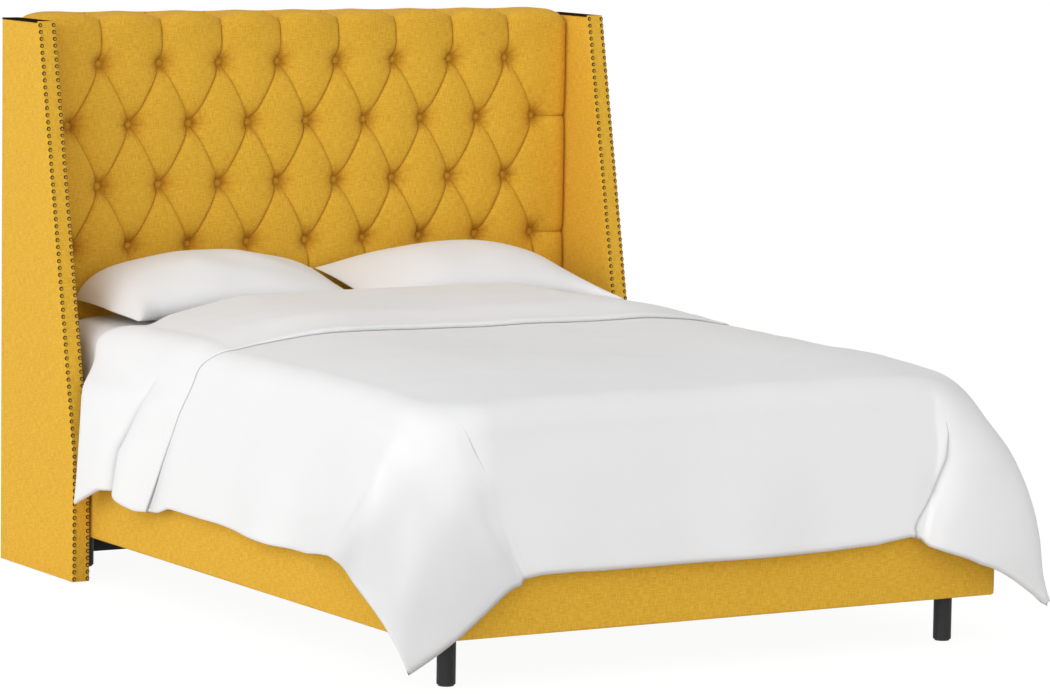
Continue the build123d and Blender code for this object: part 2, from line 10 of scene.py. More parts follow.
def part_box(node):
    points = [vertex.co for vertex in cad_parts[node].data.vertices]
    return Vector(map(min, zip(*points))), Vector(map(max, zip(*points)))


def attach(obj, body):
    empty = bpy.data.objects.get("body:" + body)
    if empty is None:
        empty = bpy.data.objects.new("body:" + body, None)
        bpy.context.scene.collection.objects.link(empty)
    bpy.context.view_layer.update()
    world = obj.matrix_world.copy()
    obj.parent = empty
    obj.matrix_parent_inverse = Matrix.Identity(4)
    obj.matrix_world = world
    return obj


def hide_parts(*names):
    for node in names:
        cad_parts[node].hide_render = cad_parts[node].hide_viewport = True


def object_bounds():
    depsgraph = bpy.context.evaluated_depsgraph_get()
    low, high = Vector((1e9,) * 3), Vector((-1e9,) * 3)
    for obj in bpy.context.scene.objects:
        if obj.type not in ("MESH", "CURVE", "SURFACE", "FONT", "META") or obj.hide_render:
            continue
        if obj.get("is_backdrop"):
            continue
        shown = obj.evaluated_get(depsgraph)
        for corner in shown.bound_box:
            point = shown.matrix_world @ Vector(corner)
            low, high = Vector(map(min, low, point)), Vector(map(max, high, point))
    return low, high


bl_info = {
    "name": "Wingback Bed",
    "version": (1, 0, 0),
    "blender": (4, 5, 0),
    "location": "3D View > Sidebar > Wingback Bed",
    "description": "Dresses a wingback bed frame with upholstery, nail heads and bedding",
    "category": "Object",
}

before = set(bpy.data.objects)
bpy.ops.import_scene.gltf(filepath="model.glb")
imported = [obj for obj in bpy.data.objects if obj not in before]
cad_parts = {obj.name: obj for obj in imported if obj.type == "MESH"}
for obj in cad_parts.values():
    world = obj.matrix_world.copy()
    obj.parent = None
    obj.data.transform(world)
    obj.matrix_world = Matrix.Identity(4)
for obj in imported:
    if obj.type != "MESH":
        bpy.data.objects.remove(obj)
cad_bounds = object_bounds()

# Thicknesses, gap and rounding of the upholstery, in metres
BAND_THICK = 0.004
COVER_THICK, COVER_GAP, RAIL_RIM = 0.0022, 0.0012, 0.006

# Places that the frame gives, in metres
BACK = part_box("headboard_back_cover")[1].y
HALF_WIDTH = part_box("wing_outer_panel_right")[1].x
WING_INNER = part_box("wing_inner_panel_right")[0].x
HEADBOARD_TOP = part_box("wing_top_cap_right")[1].z
WING_DEPTH_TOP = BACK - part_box("wing_top_cap_right")[0].y + BAND_THICK
WING_DEPTH_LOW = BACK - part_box("wing_front_band_right")[0].y
COVER_LOW, COVER_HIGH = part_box("side_rail_cover_right")
RAIL_HALF, RAIL_LOW, RAIL_HIGH = COVER_HIGH.x, COVER_LOW.z, COVER_HIGH.z
RAIL_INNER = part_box("side_rail_right")[0].x
FOOT_FACE, FOOT_BACK = [BACK - corner.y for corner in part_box("foot_rail_cover")]
BOARD_LOW, BOARD_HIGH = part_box("tuft_board")
PAD_LOW, PAD_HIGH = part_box("tufted_pad")
MATTRESS_LOW, MATTRESS_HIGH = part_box("mattress")
HALF = MATTRESS_HIGH.x
HEAD_END, FOOT_END = BACK - MATTRESS_HIGH.y, BACK - MATTRESS_LOW.y

# Roundings of the mattress, the flat part of its top, and the cloth's length over its edge
EDGE, CORNER, HEAD_CORNER = 0.058, 0.150, 0.100
FLAT_HALF, FLAT_FOOT = HALF - EDGE, FOOT_END - EDGE
EDGE_ARC = (EDGE + 0.015) * pi / 2


# Looks that a user would change
def length_property(name, description, metres):
    """Property for a length in metres."""
    return FloatProperty(name=name, description=description, default=metres, unit="LENGTH")


def colour_property(name, description, red, green, blue):
    """Property for an opaque colour."""
    default = (red, green, blue, 1)
    return FloatVectorProperty(name=name, description=description, subtype="COLOR", size=4, default=default)


class BedSizes(bpy.types.PropertyGroup):
    """Sizes of the upholstery and the bedding."""

    button_rows: IntProperty(name="Button rows", description="Rows of buttons on the headboard", default=4)
    button_pitch: length_property("Button pitch", "Distance between buttons in a row", 0.175)
    row_pitch: length_property("Row pitch", "Height from one button row to the next", 0.160)
    top_row: length_property("Top button row", "Height of the top button row", 1.303)
    tuft_depth: length_property("Tuft depth", "How far a button draws the pad in", 0.0368)
    nail_radius: length_property("Nail head radius", "Radius of a decorative nail head", 0.0058)
    nail_pitch: length_property("Nail pitch", "Distance between nail heads", 0.0175)
    thread: length_property("Thread pitch", "Distance between the threads of the upholstery cloth", 0.0011)
    duvet_thick: length_property("Duvet thickness", "Thickness of one full layer of the duvet", 0.034)
    duvet_hem: length_property("Duvet side drop", "Length of cloth that hangs at the sides", 0.457)
    cuff_end: length_property("Cuff end", "From the headboard's back to the folded cuff's free edge", 1.112)


class BedColours(bpy.types.PropertyGroup):
    """Colours of the finishes."""

    linen: colour_property("Linen", "Main colour of the upholstery cloth", 0.68, 0.360, 0.027)
    linen_light: colour_property("Linen light threads", "Colour of its paler threads", 0.83, 0.495, 0.052)
    # The near-black wing cap is painted shade, standing in for the shade along the wings' top edges
    cap: colour_property("Wing cap", "Colour of the dark cloth on the wings' tops", 0.030, 0.017, 0.007)
    bedding: colour_property("Bedding", "Colour of the sheets, pillows and duvet", 0.87, 0.87, 0.875)
    brass: colour_property("Nail heads", "Colour of the aged brass", 0.66, 0.41, 0.09)
    legs: colour_property("Legs", "Colour of the stained legs", 0.020, 0.020, 0.021)
    timber: colour_property("Timber", "Colour of the bare timber", 0.62, 0.42, 0.22)


# Shapes as arrays
def smooth(value):
    """Soft step: 3t^2 - 2t^3 of a value held between 0 and 1."""
    t = np.clip(value, 0, 1)
    return t * t * (3 - 2 * t)


def bell(value):
    """Bump of height 1 at 0: the exponential of minus the value's square."""
    return np.exp(-(value ** 2))


def quarter(share):
    """Quarter circle that rises steeply from 0 and ends level at 1."""
    return np.sqrt(np.maximum(1 - (1 - np.clip(share, 0, 1)) ** 2, 0))


def arch(share):
    """Half a sine wave over a length's shares from 0 to 1."""
    return np.sin(pi * np.clip(share, 0, 1))


def table(*columns):
    """Numbers side by side on a last axis, each repeated to the shape of the others."""
    return np.stack(np.broadcast_arrays(*columns), axis=-1)


def rounded(first, second, radius, out_first, out_second):
    """Places on a circle round a middle by their outward directions, which follow as two more columns."""
    return table(first + radius * out_first, second + radius * out_second, out_first, out_second)


def run_along(points):
    """Length of the line through some points up to each of them."""
    return np.concatenate([[0], np.cumsum(np.linalg.norm(np.diff(points, axis=0), axis=1))])


def place(x, d, z):
    """Points from places across the bed, distances from its back and heights."""
    return table(x, BACK - d, z)


def waves(a, b, seed, count, short, long):
    """Sum of sines in random directions over two lengths, about -1 to 1, from a seed."""
    draw = np.random.default_rng(seed)
    total = np.zeros(np.broadcast(a, b).shape)
    for turn, phase, size in draw.random((count, 3)):
        length = short + (long - short) * size
        way = turn * pi
        total = total + np.sin(2 * pi * (a * cos(way) + b * sin(way)) / length + 2 * pi * phase)
    return total / np.sqrt(count * 2)


def grid_faces(rows, columns, closed=False):
    """Corner numbers of the faces of a grid, whose columns may close on themselves."""
    across = columns if closed else columns - 1
    row, column = np.meshgrid(np.arange(rows - 1), np.arange(across), indexing="ij")
    after = (column + 1) % columns
    near, far = row * columns, (row + 1) * columns
    return table(near + column, near + after, far + after, far + column).reshape(-1, 4)


def build(name, grids, merge=1e-5, holes=0):
    """Piece from grids of (points, metres across, metres along, closed), joined where their rims meet.

    A fifth entry says how much painted shade each point takes, from 0 to 1, in its folds and hollows, and a
    sixth how far it lies to one side of the nearest crease, along which a thin line of shade is painted, as
    0.5 plus tenths of a metre.
    Holes of up to that many sides are filled.
    """
    points, faces, cloth, painted_shades = [], [], [], []
    start = 0
    for grid, across, along, closed, *painted_shade in grids:
        rows, columns = grid.shape[:2]
        index = grid_faces(rows, columns, closed)
        points.append(grid.reshape(-1, 3))
        faces.append(index + start)
        flat = table(across, along)
        row, column = index[:, 0] // columns, index[:, 0] % columns
        corners = [(row, column), (row, column + 1), (row + 1, column + 1), (row + 1, column)]
        cloth.append(np.stack([flat[r, np.minimum(c, flat.shape[1] - 1)] for r, c in corners], axis=1))
        none = np.zeros((rows, columns))
        depth, line = (painted_shade + [none, none])[:2]
        painted_shades.append(table(depth.ravel()[index], line.ravel()[index]))
        start += rows * columns
    mesh = bpy.data.meshes.new(name)
    mesh.from_pydata(np.concatenate(points).tolist(), [], np.concatenate(faces).tolist())
    maps = {"cloth": cloth}
    # The painted shade goes into a map of its own, which the cloth materials darken by
    if any(len(grid) > 4 for grid in grids):
        maps["painted_shade"] = painted_shades
    for label, parts in maps.items():
        values = np.concatenate(parts).astype(np.float32).ravel()
        mesh.uv_layers.new(name=label).data.foreach_set("uv", values)
    work = bmesh.new()
    work.from_mesh(mesh)
    bmesh.ops.remove_doubles(work, verts=work.verts, dist=merge)
    bmesh.ops.dissolve_degenerate(work, edges=work.edges, dist=merge / 10)
    if holes:
        bmesh.ops.holes_fill(work, edges=work.edges, sides=holes)
    bmesh.ops.recalc_face_normals(work, faces=work.faces)
    work.to_mesh(mesh)
    work.free()
    mesh.shade_smooth()
    piece = bpy.data.objects.new(name, mesh)
    bpy.context.scene.collection.objects.link(piece)
    return piece


def rim_places(rim, steps, inner):
    """Places over a length that start and end with a fine rim, as fixed parts and shares of the length."""
    edge = rim * (1 - np.cos(np.linspace(0, pi / 2, steps)))
    share = np.linspace(0, 1, inner + 2)[1:-1]
    fixed = np.concatenate([edge, rim * (1 - 2 * share), -edge[::-1]])
    return fixed, np.concatenate([0 * edge, share, 0 * edge + 1])


def rim_height(place_in, length, rim):
    """Quarter-round rise from 0 at both ends of a length to 1 beyond its rims."""
    return quarter(np.minimum(place_in, length - place_in) / rim)


def slab(name, start, end, low, high, thick, rim, crown, put, inner, tall):
    """Upholstered panel: a face that rises over rounded rims and a slight crown, and a flat back.

    start and end give its two edges at each height, and put turns (along, height, out) into points.
    """
    fixed_z, share_z = rim_places(rim, 4, tall)
    z = (low + fixed_z + share_z * (high - low))[:, None]
    fixed, share = rim_places(rim, 4, inner)
    wide = end(z) - start(z)
    run = fixed + share * wide
    rise = rim_height(run, wide, rim) * rim_height(z - low, high - low, rim)
    bulge = crown * np.sqrt(arch(run / wide) * arch((z - low) / (high - low)))
    face = put(start(z) + run, z + 0 * run, (thick - rim) + rim * rise + bulge)
    back = put(start(z) + run, z + 0 * run, 0 * run)
    grids = [(face, run, z, False), (back, run, z, False)]
    for edge in (np.s_[:, 0], np.s_[:, -1], 0, -1):
        side = np.stack([face[edge], back[edge]])
        length = np.arange(side.shape[1])[None, :] / side.shape[1]
        grids.append((side, length, np.array([[0.0], [thick]]), False))
    return build(name, grids)


# Materials
class Wiring:
    """Adds nodes to a tree and joins them, with a value or another node's socket for each input."""

    def __init__(self, tree):
        self.tree = tree

    def give(self, socket, value):
        if isinstance(value, bpy.types.NodeSocket):
            self.tree.links.new(value, socket)
        else:
            socket.default_value = value

    def add(self, kind, inputs=None, **settings):
        made = self.tree.nodes.new(kind)
        for key, value in settings.items():
            setattr(made, key, value)
        for key, value in (inputs or {}).items():
            self.give(made.inputs[key], value)
        return made

    def math(self, operation, first, second=0.0, clamp=False):
        made = self.add("ShaderNodeMath", {0: first, 1: second}, operation=operation, use_clamp=clamp)
        return made.outputs[0]

    def times(self, first, second, clamp=False):
        return self.math("MULTIPLY", first, second, clamp)

    def plus(self, first, second, clamp=False):
        return self.math("ADD", first, second, clamp)

    def mix(self, factor, first, second, way="MIX"):
        inputs = {0: factor, 6: first, 7: second}
        return self.add("ShaderNodeMix", inputs, data_type="RGBA", blend_type=way).outputs[2]

    def noise(self, vector, scale, detail=3.0, rough=0.5):
        inputs = {"Vector": vector, "Scale": scale, "Detail": detail, "Roughness": rough}
        return self.add("ShaderNodeTexNoise", inputs).outputs["Fac"]

    def stretched(self, vector, scales):
        return self.add("ShaderNodeVectorMath", {0: vector, 1: scales}, operation="MULTIPLY").outputs[0]

    def split(self, vector):
        return self.add("ShaderNodeSeparateXYZ", {0: vector}).outputs

    def uv(self, name):
        return self.add("ShaderNodeUVMap", uv_map=name).outputs[0]


def weave(wire, given):
    """Plain weave: sine threads both ways, uneven in thickness, with slubs along them.

    Tone is the paleness of the thread on top, Height its rise.
    """
    vector = given["Vector"]
    across, along = wire.split(vector)[:2]
    turns = wire.math("DIVIDE", 2 * pi, given["Pitch"])
    bend = wire.times(wire.noise(vector, 35.0, 2.0), 5.0)
    warp = wire.math("SINE", wire.plus(wire.times(across, turns), bend))
    weft = wire.math("SINE", wire.plus(wire.times(along, turns), bend))
    over = wire.times(warp, weft)
    slub_across = wire.noise(wire.stretched(vector, (45.0, 460.0, 1.0)), 1.0, 3.0, 0.65)
    slub_along = wire.noise(wire.stretched(vector, (460.0, 45.0, 1.0)), 1.0, 3.0, 0.65)
    slub = wire.math("SUBTRACT", wire.plus(slub_across, slub_along), 1.0)
    strong = wire.times(wire.times(slub, given["Slub"]), 3.0)
    tone = wire.plus(wire.times(over, 0.22), strong)
    return wire.plus(tone, 0.5, True), wire.plus(over, wire.times(strong, 0.8))


def grain(wire, given):
    """Wood grain: noise drawn out along the first axis, with fine pores. Tone is its darkness."""
    broad = wire.noise(wire.stretched(given["Vector"], (0.05, 1.0, 1.0)), given["Rings"], 4.0, 0.55)
    rings = wire.math("FRACT", wire.times(broad, 4.0))
    pores = wire.noise(wire.stretched(given["Vector"], (0.04, 1.0, 1.0)), 900.0, 2.0)
    dark_pores = wire.times(pores, given["Pores"])
    return wire.plus(wire.times(rings, 0.5), dark_pores), pores


def wear(wire, given):
    """Uneven wear: soft blotches and small specks. Tone is the wear, Height its bumps."""
    broad = wire.noise(given["Vector"], given["Size"], 4.0, 0.6)
    fine = wire.noise(given["Vector"], 420.0, 2.0)
    specks = wire.times(wire.math("SUBTRACT", fine, 0.5), given["Specks"])
    return wire.plus(broad, specks, True), fine


WEAVE, GRAIN, WORN = "Plain Weave", "Wood Grain", "Worn Surface"
PATTERNS = {
    WEAVE: (weave, {"Pitch": 0.001, "Slub": 0.5}),
    GRAIN: (grain, {"Rings": 60.0, "Pores": 0.35}),
    WORN: (wear, {"Size": 12.0, "Specks": 0.5}),
}


def pattern_group(name):
    """Node group with a vector and the pattern's own values going in, Tone and Height coming out."""
    pattern, inputs = PATTERNS[name]
    tree = bpy.data.node_groups.new(name, "ShaderNodeTree")
    tree.interface.new_socket("Vector", in_out="INPUT", socket_type="NodeSocketVector")
    for label, value in inputs.items():
        made = tree.interface.new_socket(label, in_out="INPUT", socket_type="NodeSocketFloat")
        made.default_value = value
    for label in ("Tone", "Height"):
        tree.interface.new_socket(label, in_out="OUTPUT", socket_type="NodeSocketFloat")
    wire = Wiring(tree)
    tone, height = pattern(wire, tree.nodes.new("NodeGroupInput").outputs)
    wire.add("NodeGroupOutput", {"Tone": tone, "Height": height})


def finish_material(name, group, vector, values, dark, light, rough, bump, fixed=None):
    """Material whose colour, roughness and bump come from one pattern group.

    vector is the name of a map, or how far the object's own places are turned.
    """
    made = bpy.data.materials.new(name)
    made.use_nodes = True
    wire = Wiring(made.node_tree)
    if isinstance(vector, str):
        vector = wire.uv(vector)
    else:
        places = wire.add("ShaderNodeTexCoord").outputs["Object"]
        vector = wire.add("ShaderNodeMapping", {"Vector": places, "Rotation": vector}).outputs[0]
    inputs = {"Vector": vector, **values}
    pattern = wire.add("ShaderNodeGroup", inputs, node_tree=bpy.data.node_groups[group]).outputs
    raised = wire.add("ShaderNodeBump", {"Strength": 1.0, "Distance": bump, "Height": pattern["Height"]})
    low, high = rough
    looks = {
        "Base Color": wire.mix(pattern["Tone"], dark, light),
        "Roughness": wire.plus(wire.times(pattern["Tone"], high - low), low),
        "Normal": raised.outputs[0],
        **(fixed or {}),
    }
    for key, value in looks.items():
        wire.give(made.node_tree.nodes["Principled BSDF"].inputs[key], value)


def recolour(name, change):
    """Sends a material's colour through a change, which takes the wiring and the colour."""
    tree = bpy.data.materials[name].node_tree
    socket = tree.nodes["Principled BSDF"].inputs["Base Color"]
    wire = Wiring(tree)
    wire.give(socket, change(wire, socket.links[0].from_socket))


def paint_fold_shade(name, depth, crease, width):
    """Paints shade on a cloth where its map says that it lies in a fold, and a thin line of painted shade
    along its creases.
    """

    def change(wire, colour):
        painted_shade, side = wire.split(wire.uv("painted_shade"))[:2]
        # Painted shade: depth is the colour that full shade multiplies in, crease the strength of the
        # painted line, width how fast it fades
        gap = wire.math("ABSOLUTE", wire.math("SUBTRACT", side, 0.5))
        line = wire.math("EXPONENT", wire.times(gap, -0.1 / width))
        deep = wire.math("MAXIMUM", painted_shade, wire.times(line, crease))
        return wire.mix(deep, colour, wire.mix(1.0, colour, depth, "MULTIPLY"))

    recolour(name, change)


def paint_nail_rim_shade(name, rim):
    """Paints shade on the nail heads towards their rims, read from their own map."""

    def change(wire, colour):
        height = wire.split(wire.uv("cloth"))[1]
        share = wire.times(wire.math("SUBTRACT", height, 0.30), 2.6, True)
        return wire.mix(share, rim, colour)

    recolour(name, change)


def grey(level, blue=0.0):
    """Grey of a level, with some more blue."""
    return level, level, level + blue, 1.0


def shade(colour, factor=1.0):
    """Opaque colour of a factor of another one's brightness."""
    return tuple(channel * factor for channel in colour[:3]) + (1.0,)


def finish_rows(sizes, colours):
    """Every plain finish as what finish_material takes."""
    linen, pale, cap = shade(colours.linen), shade(colours.linen_light), shade(colours.cap)
    white, brass = shade(colours.bedding), shade(colours.brass)
    legs, wood = shade(colours.legs), shade(colours.timber)
    cloth = {"Sheen Weight": 0.03, "Sheen Roughness": 0.5, "Specular IOR Level": 0.12}
    cotton = {"Sheen Weight": 0.04, "Sheen Roughness": 0.6, "Specular IOR Level": 0.12}
    old_brass = {"Metallic": 0.15, "Specular IOR Level": 0.08}
    threads = {"Pitch": sizes.thread, "Slub": 1.1}
    flat, upright = (0.0, 0.0, 0.0), (-pi / 2, 0.0, 0.0)
    turn_y, turn_z = (0.0, 0.0, pi / 2), (0.0, pi / 2, 0.0)
    return (
        ("Mustard linen", WEAVE, "cloth", threads, linen, pale, (0.8, 0.92), 0.0001, cloth),
        # A darker copy of the linen: painted shade for the buttons and the lower headboard panel
        ("Mustard linen in painted shade", WEAVE, upright, threads,
         shade(linen, 0.80), shade(pale, 0.80), (0.8, 0.92), 0.0001, cloth),
        # Painted shade: the wing caps in near-black in place of the shade along the wings' top edges
        ("Wing cap painted shade", WEAVE, flat, threads,
         shade(cap, 0.6), cap, (0.8, 0.95), 0.0001, {"Specular IOR Level": 0.0}),
        ("White cotton", WEAVE, "cloth", {"Pitch": 0.0005, "Slub": 0.1},
         shade(white, 0.97), white, (0.85, 0.95), 0.0001, cotton),
        ("Mattress cover", WEAVE, "cloth", {"Pitch": 0.0009, "Slub": 0.2},
         shade(white, 0.94), white, (0.85, 0.95), 0.0002, cotton),
        ("Dust cloth", WORN, flat, {"Size": 90.0, "Specks": 0.9},
         grey(0.02, 0.002), grey(0.05, 0.005), (0.85, 0.95), 0.0002),
        ("Button twine", WEAVE, flat, {"Pitch": 0.001, "Slub": 0.3},
         (0.45, 0.4, 0.3, 1), (0.7, 0.64, 0.52, 1), (0.8, 0.9), 0.0002),
        ("Slat webbing", WEAVE, flat, {"Pitch": 0.002, "Slub": 0.2},
         (0.55, 0.53, 0.47, 1), (0.78, 0.76, 0.7, 1), (0.8, 0.9), 0.0004),
        ("Timber across", GRAIN, flat, {}, wood, shade(wood, 0.55), (0.5, 0.65), 0.0002),
        ("Timber along", GRAIN, turn_y, {}, wood, shade(wood, 0.55), (0.5, 0.65), 0.0002),
        ("Timber upright", GRAIN, turn_z, {}, wood, shade(wood, 0.55), (0.5, 0.65), 0.0002),
        ("Plywood", GRAIN, flat, {"Rings": 25.0, "Pores": 0.5},
         (0.58, 0.42, 0.25, 1), (0.4, 0.27, 0.15, 1), (0.6, 0.75), 0.0002),
        ("Black stained leg", GRAIN, turn_z, {"Rings": 80.0, "Pores": 0.2},
         legs, shade(legs, 0.6), (0.5, 0.65), 0.0001, {"Specular IOR Level": 0.35}),
        ("Aged brass", WORN, flat, {"Size": 60.0, "Specks": 0.8},
         shade(brass, 0.7), brass, (0.45, 0.6), 0.00005, old_brass),
        ("Zinc steel", WORN, flat, {"Size": 25.0, "Specks": 0.4},
         (0.5, 0.51, 0.53, 1), (0.72, 0.73, 0.75, 1), (0.3, 0.45), 0.00005, {"Metallic": 1.0}),
        ("Black nylon", WORN, flat, {"Size": 30.0, "Specks": 0.3},
         grey(0.02, 0.002), grey(0.035, 0.005), (0.45, 0.6), 0.0001),
    )


class BED_OT_materials(bpy.types.Operator):
    """Makes every finish of the bed"""

    bl_idname = "bed.materials"
    bl_label = "Finishes"

    def execute(self, context):
        for name in PATTERNS:
            pattern_group(name)
        for row in finish_rows(context.scene.bed_sizes, context.scene.bed_colours):
            finish_material(*row)
        # Painted shade of this colour on the steep rims of the nail domes
        paint_nail_rim_shade("Aged brass", (0.045, 0.026, 0.005, 1))
        # Painted shade of these colours in the folds and creases of the linen and the cotton
        paint_fold_shade("Mustard linen", (0.53, 0.34, 0.16, 1), 0.9, 0.0017)
        paint_fold_shade("White cotton", grey(0.42, 0.02), 0.85, 0.0028)
        return {"FINISHED"}


def dress(piece, material, body="bed_frame", nodes=()):
    """Gives a piece its material and body, and hides the nodes that it stands for."""
    piece.data.materials.clear()
    piece.data.materials.append(bpy.data.materials[material])
    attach(piece, body)
    if nodes:
        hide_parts(*nodes)
    return piece


def upholster(piece, node):
    dress(piece, "Mustard linen", nodes=[node])


# Headboard pad: grid steps to a row and to half a button pitch, and how far its inside is from the back
PARTS = 24
PAD_INSIDE = 0.0472


def pad_profile(sizes):
    """Outline of the pad from its lower back, up the front, over the top and down behind the posts.

    Returns the distance from the bed's back, the height and the outward direction at each step,
    with one step per part of a row on the front so that the creases follow the grid.
    """
    step = sizes.row_pitch / PARTS
    low_round, top_round, back_round, clear = 0.028, 0.036, 0.009, 0.001
    low, top = PAD_LOW.z, PAD_HIGH.z
    front, back = BACK - PAD_LOW.y, BACK - PAD_HIGH.y
    first = np.ceil((low + low_round - sizes.top_row) / step)
    last = np.floor((top - top_round - sizes.top_row) / step)
    under = np.linspace(BACK - BOARD_LOW.y + clear, front - low_round, 5)[:-1]
    over = np.linspace(front - top_round, back + back_round, 10)[1:-1]
    down = np.linspace(top - back_round, BOARD_HIGH.z + clear, 4)[1:]
    turn = np.linspace(0, pi / 2, 9)
    parts = [
        table(under, low, 0, -1),
        rounded(front - low_round, low + low_round, low_round, np.sin(turn), -np.cos(turn)),
        table(front, sizes.top_row + np.arange(first, last + 1) * step, 1, 0),
        rounded(front - top_round, top - top_round, top_round, np.cos(turn), np.sin(turn)),
        table(over, top, 0, 1),
        rounded(back + back_round, top - back_round, back_round, -np.sin(turn), np.cos(turn)),
        table(back, down, -1, 0),
    ]
    return np.concatenate(parts).T


def tuft_places(sizes):
    """Middle of each button as (x, height)."""
    places = []
    for row in range(sizes.button_rows):
        count = 8 + row % 2
        x = (np.arange(count) - (count - 1) / 2) * sizes.button_pitch
        places.append(table(x, sizes.top_row - row * sizes.row_pitch))
    return np.concatenate(places)


def tuft_pits(sizes, x, z):
    """Distance to the nearest button, and the radial puckers round the buttons."""
    near = np.full(x.shape, 9.0)
    pucker = np.zeros(x.shape)
    draw = np.random.default_rng(7)
    for bx, bz in tuft_places(sizes):
        gap = np.hypot(x - bx, z - bz)
        near = np.minimum(near, gap)
        turn = np.arctan2(z - bz, x - bx)
        count, phase = draw.integers(9, 14), draw.random() * 2 * pi
        ray = np.abs(np.sin(count / 2 * turn + phase + 0.5 * np.sin(3 * turn + phase))) ** 0.7
        pucker += (1 - ray) * bell((gap - 0.017) / 0.020) * (gap > 0.008)
    return near, pucker


def tuft_sink(sizes, x, z):
    """How far the pad is drawn in, how much painted shade each place takes, and how far from the nearest
    crease.

    An exponential pit at each button with radial puckers, sharp creases between buttons, flat diamonds.
    """
    pitch, row_pitch, top = sizes.button_pitch, sizes.row_pitch, sizes.top_row
    near, pucker = tuft_pits(sizes, x, z)
    button_radius, pit_width, crease_width, dip_width = 0.011, 0.019, 0.0030, 0.022
    pit = np.exp(-((np.maximum(near - button_radius, 0) / pit_width) ** 0.9))

    # Sloping creases of the diamonds, upright pleats above and below, level pleats at both ends
    reach, low = 4 * pitch, top - (sizes.button_rows - 1) * row_pitch
    held_x, held_z = np.clip(x, -reach, reach), np.clip(z, low, top)
    p = held_x / pitch + (held_z - top) / (2 * row_pitch) + 0.5
    q = held_x / pitch - (held_z - top) / (2 * row_pitch) + 0.5
    scale = pitch * np.cos(np.arctan2(pitch / 2, row_pitch))
    falling, rising = np.abs(p - np.round(p)) * scale, np.abs(q - np.round(q)) * scale
    inside = (np.abs(x) <= reach + 1e-6) & (z <= top + 1e-6) & (z >= low - 1e-6)
    share = x / pitch
    past_top, past_low = np.abs(x) - reach + pitch / 2, np.abs(x) - reach
    above = np.where(past_top > 0, past_top, np.abs(share - 0.5 - np.round(share - 0.5)) * pitch)
    below = np.where(past_low > 0, past_low, np.abs(share - np.round(share)) * pitch)
    gaps = np.where(inside, np.minimum(falling, rising), 1.0)
    gaps = np.where(z > top, above, np.where(z < low, below, gaps))
    for row in range(1, sizes.button_rows, 2):
        level = np.abs(z - (top - row * row_pitch))
        gaps = np.where(np.abs(x) > reach, np.minimum(gaps, level), gaps)

    crease = np.exp(-gaps / crease_width)
    broad = np.exp(-((gaps / dip_width) ** 1.2))
    scallop = 0.014 * (1 - np.minimum(above, pitch / 2) * 2 / pitch) ** 2 * smooth((z - top - 0.03) / 0.09)
    full = sizes.tuft_depth * pit
    sink = np.maximum(full, 0.0055 * crease + 0.0050 * broad + 0.85 * full) + 0.0022 * pucker + scallop
    # Painted shade: darker in the creases, more so near the buttons, in the button pits and puckers, and
    # over the top roll
    held = 0.45 + 0.55 * np.exp(-near / 0.05)
    painted_shade = 0.22 * crease * held + 0.58 * pit ** 1.5 + 0.34 * pucker + 0.10 * smooth((z - top) / 0.12)
    rise, fall = np.sin(pi * p), np.sin(pi * q)
    crossing = rise * fall / (pi * np.hypot(rise, fall) + 1e-6) * scale
    crossing = crossing * np.where(falling < rising, 2.3, 1.0)
    odd = -1.0 if sizes.button_rows % 2 == 0 else 1.0
    line = np.where(inside, crossing, np.where((z < low) & (np.abs(x) < reach), odd, 1.0) * gaps)
    return sink, np.clip(painted_shade, 0, 1), 0.5 + 10 * np.clip(line, -0.05, 0.05)


def make_pad(sizes):
    """Tufted pad: its outline swept across the bed, drawn in against its outward direction by the tufts."""
    d, z, out_d, out_z = pad_profile(sizes)
    side_gap, side_round, corner_round = 0.0004, 0.034, 0.075
    edge = WING_INNER - side_gap
    step = sizes.button_pitch / 2 / PARTS
    inner = np.arange(-218, 219) * step
    x = np.concatenate([[-edge], inner[np.abs(inner) < edge - 0.001], [edge]])
    run = run_along(table(d, z))
    rising = np.argmax(out_z > 0)
    length = np.where(out_z > 0, run - run[rising] + z[rising], z)
    grid_x, grid_run = np.meshgrid(x, length)
    # sink shapes the pad; the painted shade and the crease places go into its map
    sink, painted_shade, line = tuft_sink(sizes, grid_x, grid_run)
    d, z, out_d = d[:, None], z[:, None], out_d[:, None]
    side = edge - np.abs(grid_x)
    rounding = 0.024 * (1 - quarter(side / side_round))
    corner = np.where(grid_x < 0, 0.024, 0.040) * (1 - quarter(side / corner_round))
    ahead = (sink + rounding) * smooth((d - 0.040) / 0.04)
    upward = np.minimum(sink, 0.018) * smooth((d - 0.004) / 0.01) + corner
    near_top = smooth((z - PAD_HIGH.z + 0.040) / 0.030)
    points = place(grid_x, d - ahead * np.maximum(out_d, 0), z - upward * near_top)
    inside = [points[-1], place(x, PAD_INSIDE, z[-1]), place(x, PAD_INSIDE, z[0]), points[0]]
    inside_along = np.array([[0], [0.04], [0.9], [1.0]])
    grids = [(points, grid_x, run[:, None], False, painted_shade, line)]
    grids.append((np.stack(inside), x[None, :], inside_along, False))
    for column in (0, -1):
        ring = points[:, column]
        inward = ring.copy()
        inward[:, 1] = np.maximum(ring[:, 1], BACK - PAD_INSIDE)
        grids.append((np.stack([ring, inward]), run[None, :], np.array([[0], [0.05]]), False))
    return build("tufted_headboard_pad", grids)


class BED_OT_headboard_pad(bpy.types.Operator):
    """Makes the deep-buttoned headboard pad"""

    bl_idname = "bed.headboard_pad"
    bl_label = "Headboard pad"

    def execute(self, context):
        upholster(make_pad(context.scene.bed_sizes), "tufted_pad")
        return {"FINISHED"}


def add_solidify(piece, thick):
    """Gives a piece of cloth its thickness, inwards."""
    made = piece.modifiers.new("cloth_thickness", "SOLIDIFY")
    made.thickness = thick
    made.offset = -1
    made.use_even_offset = True
    return piece


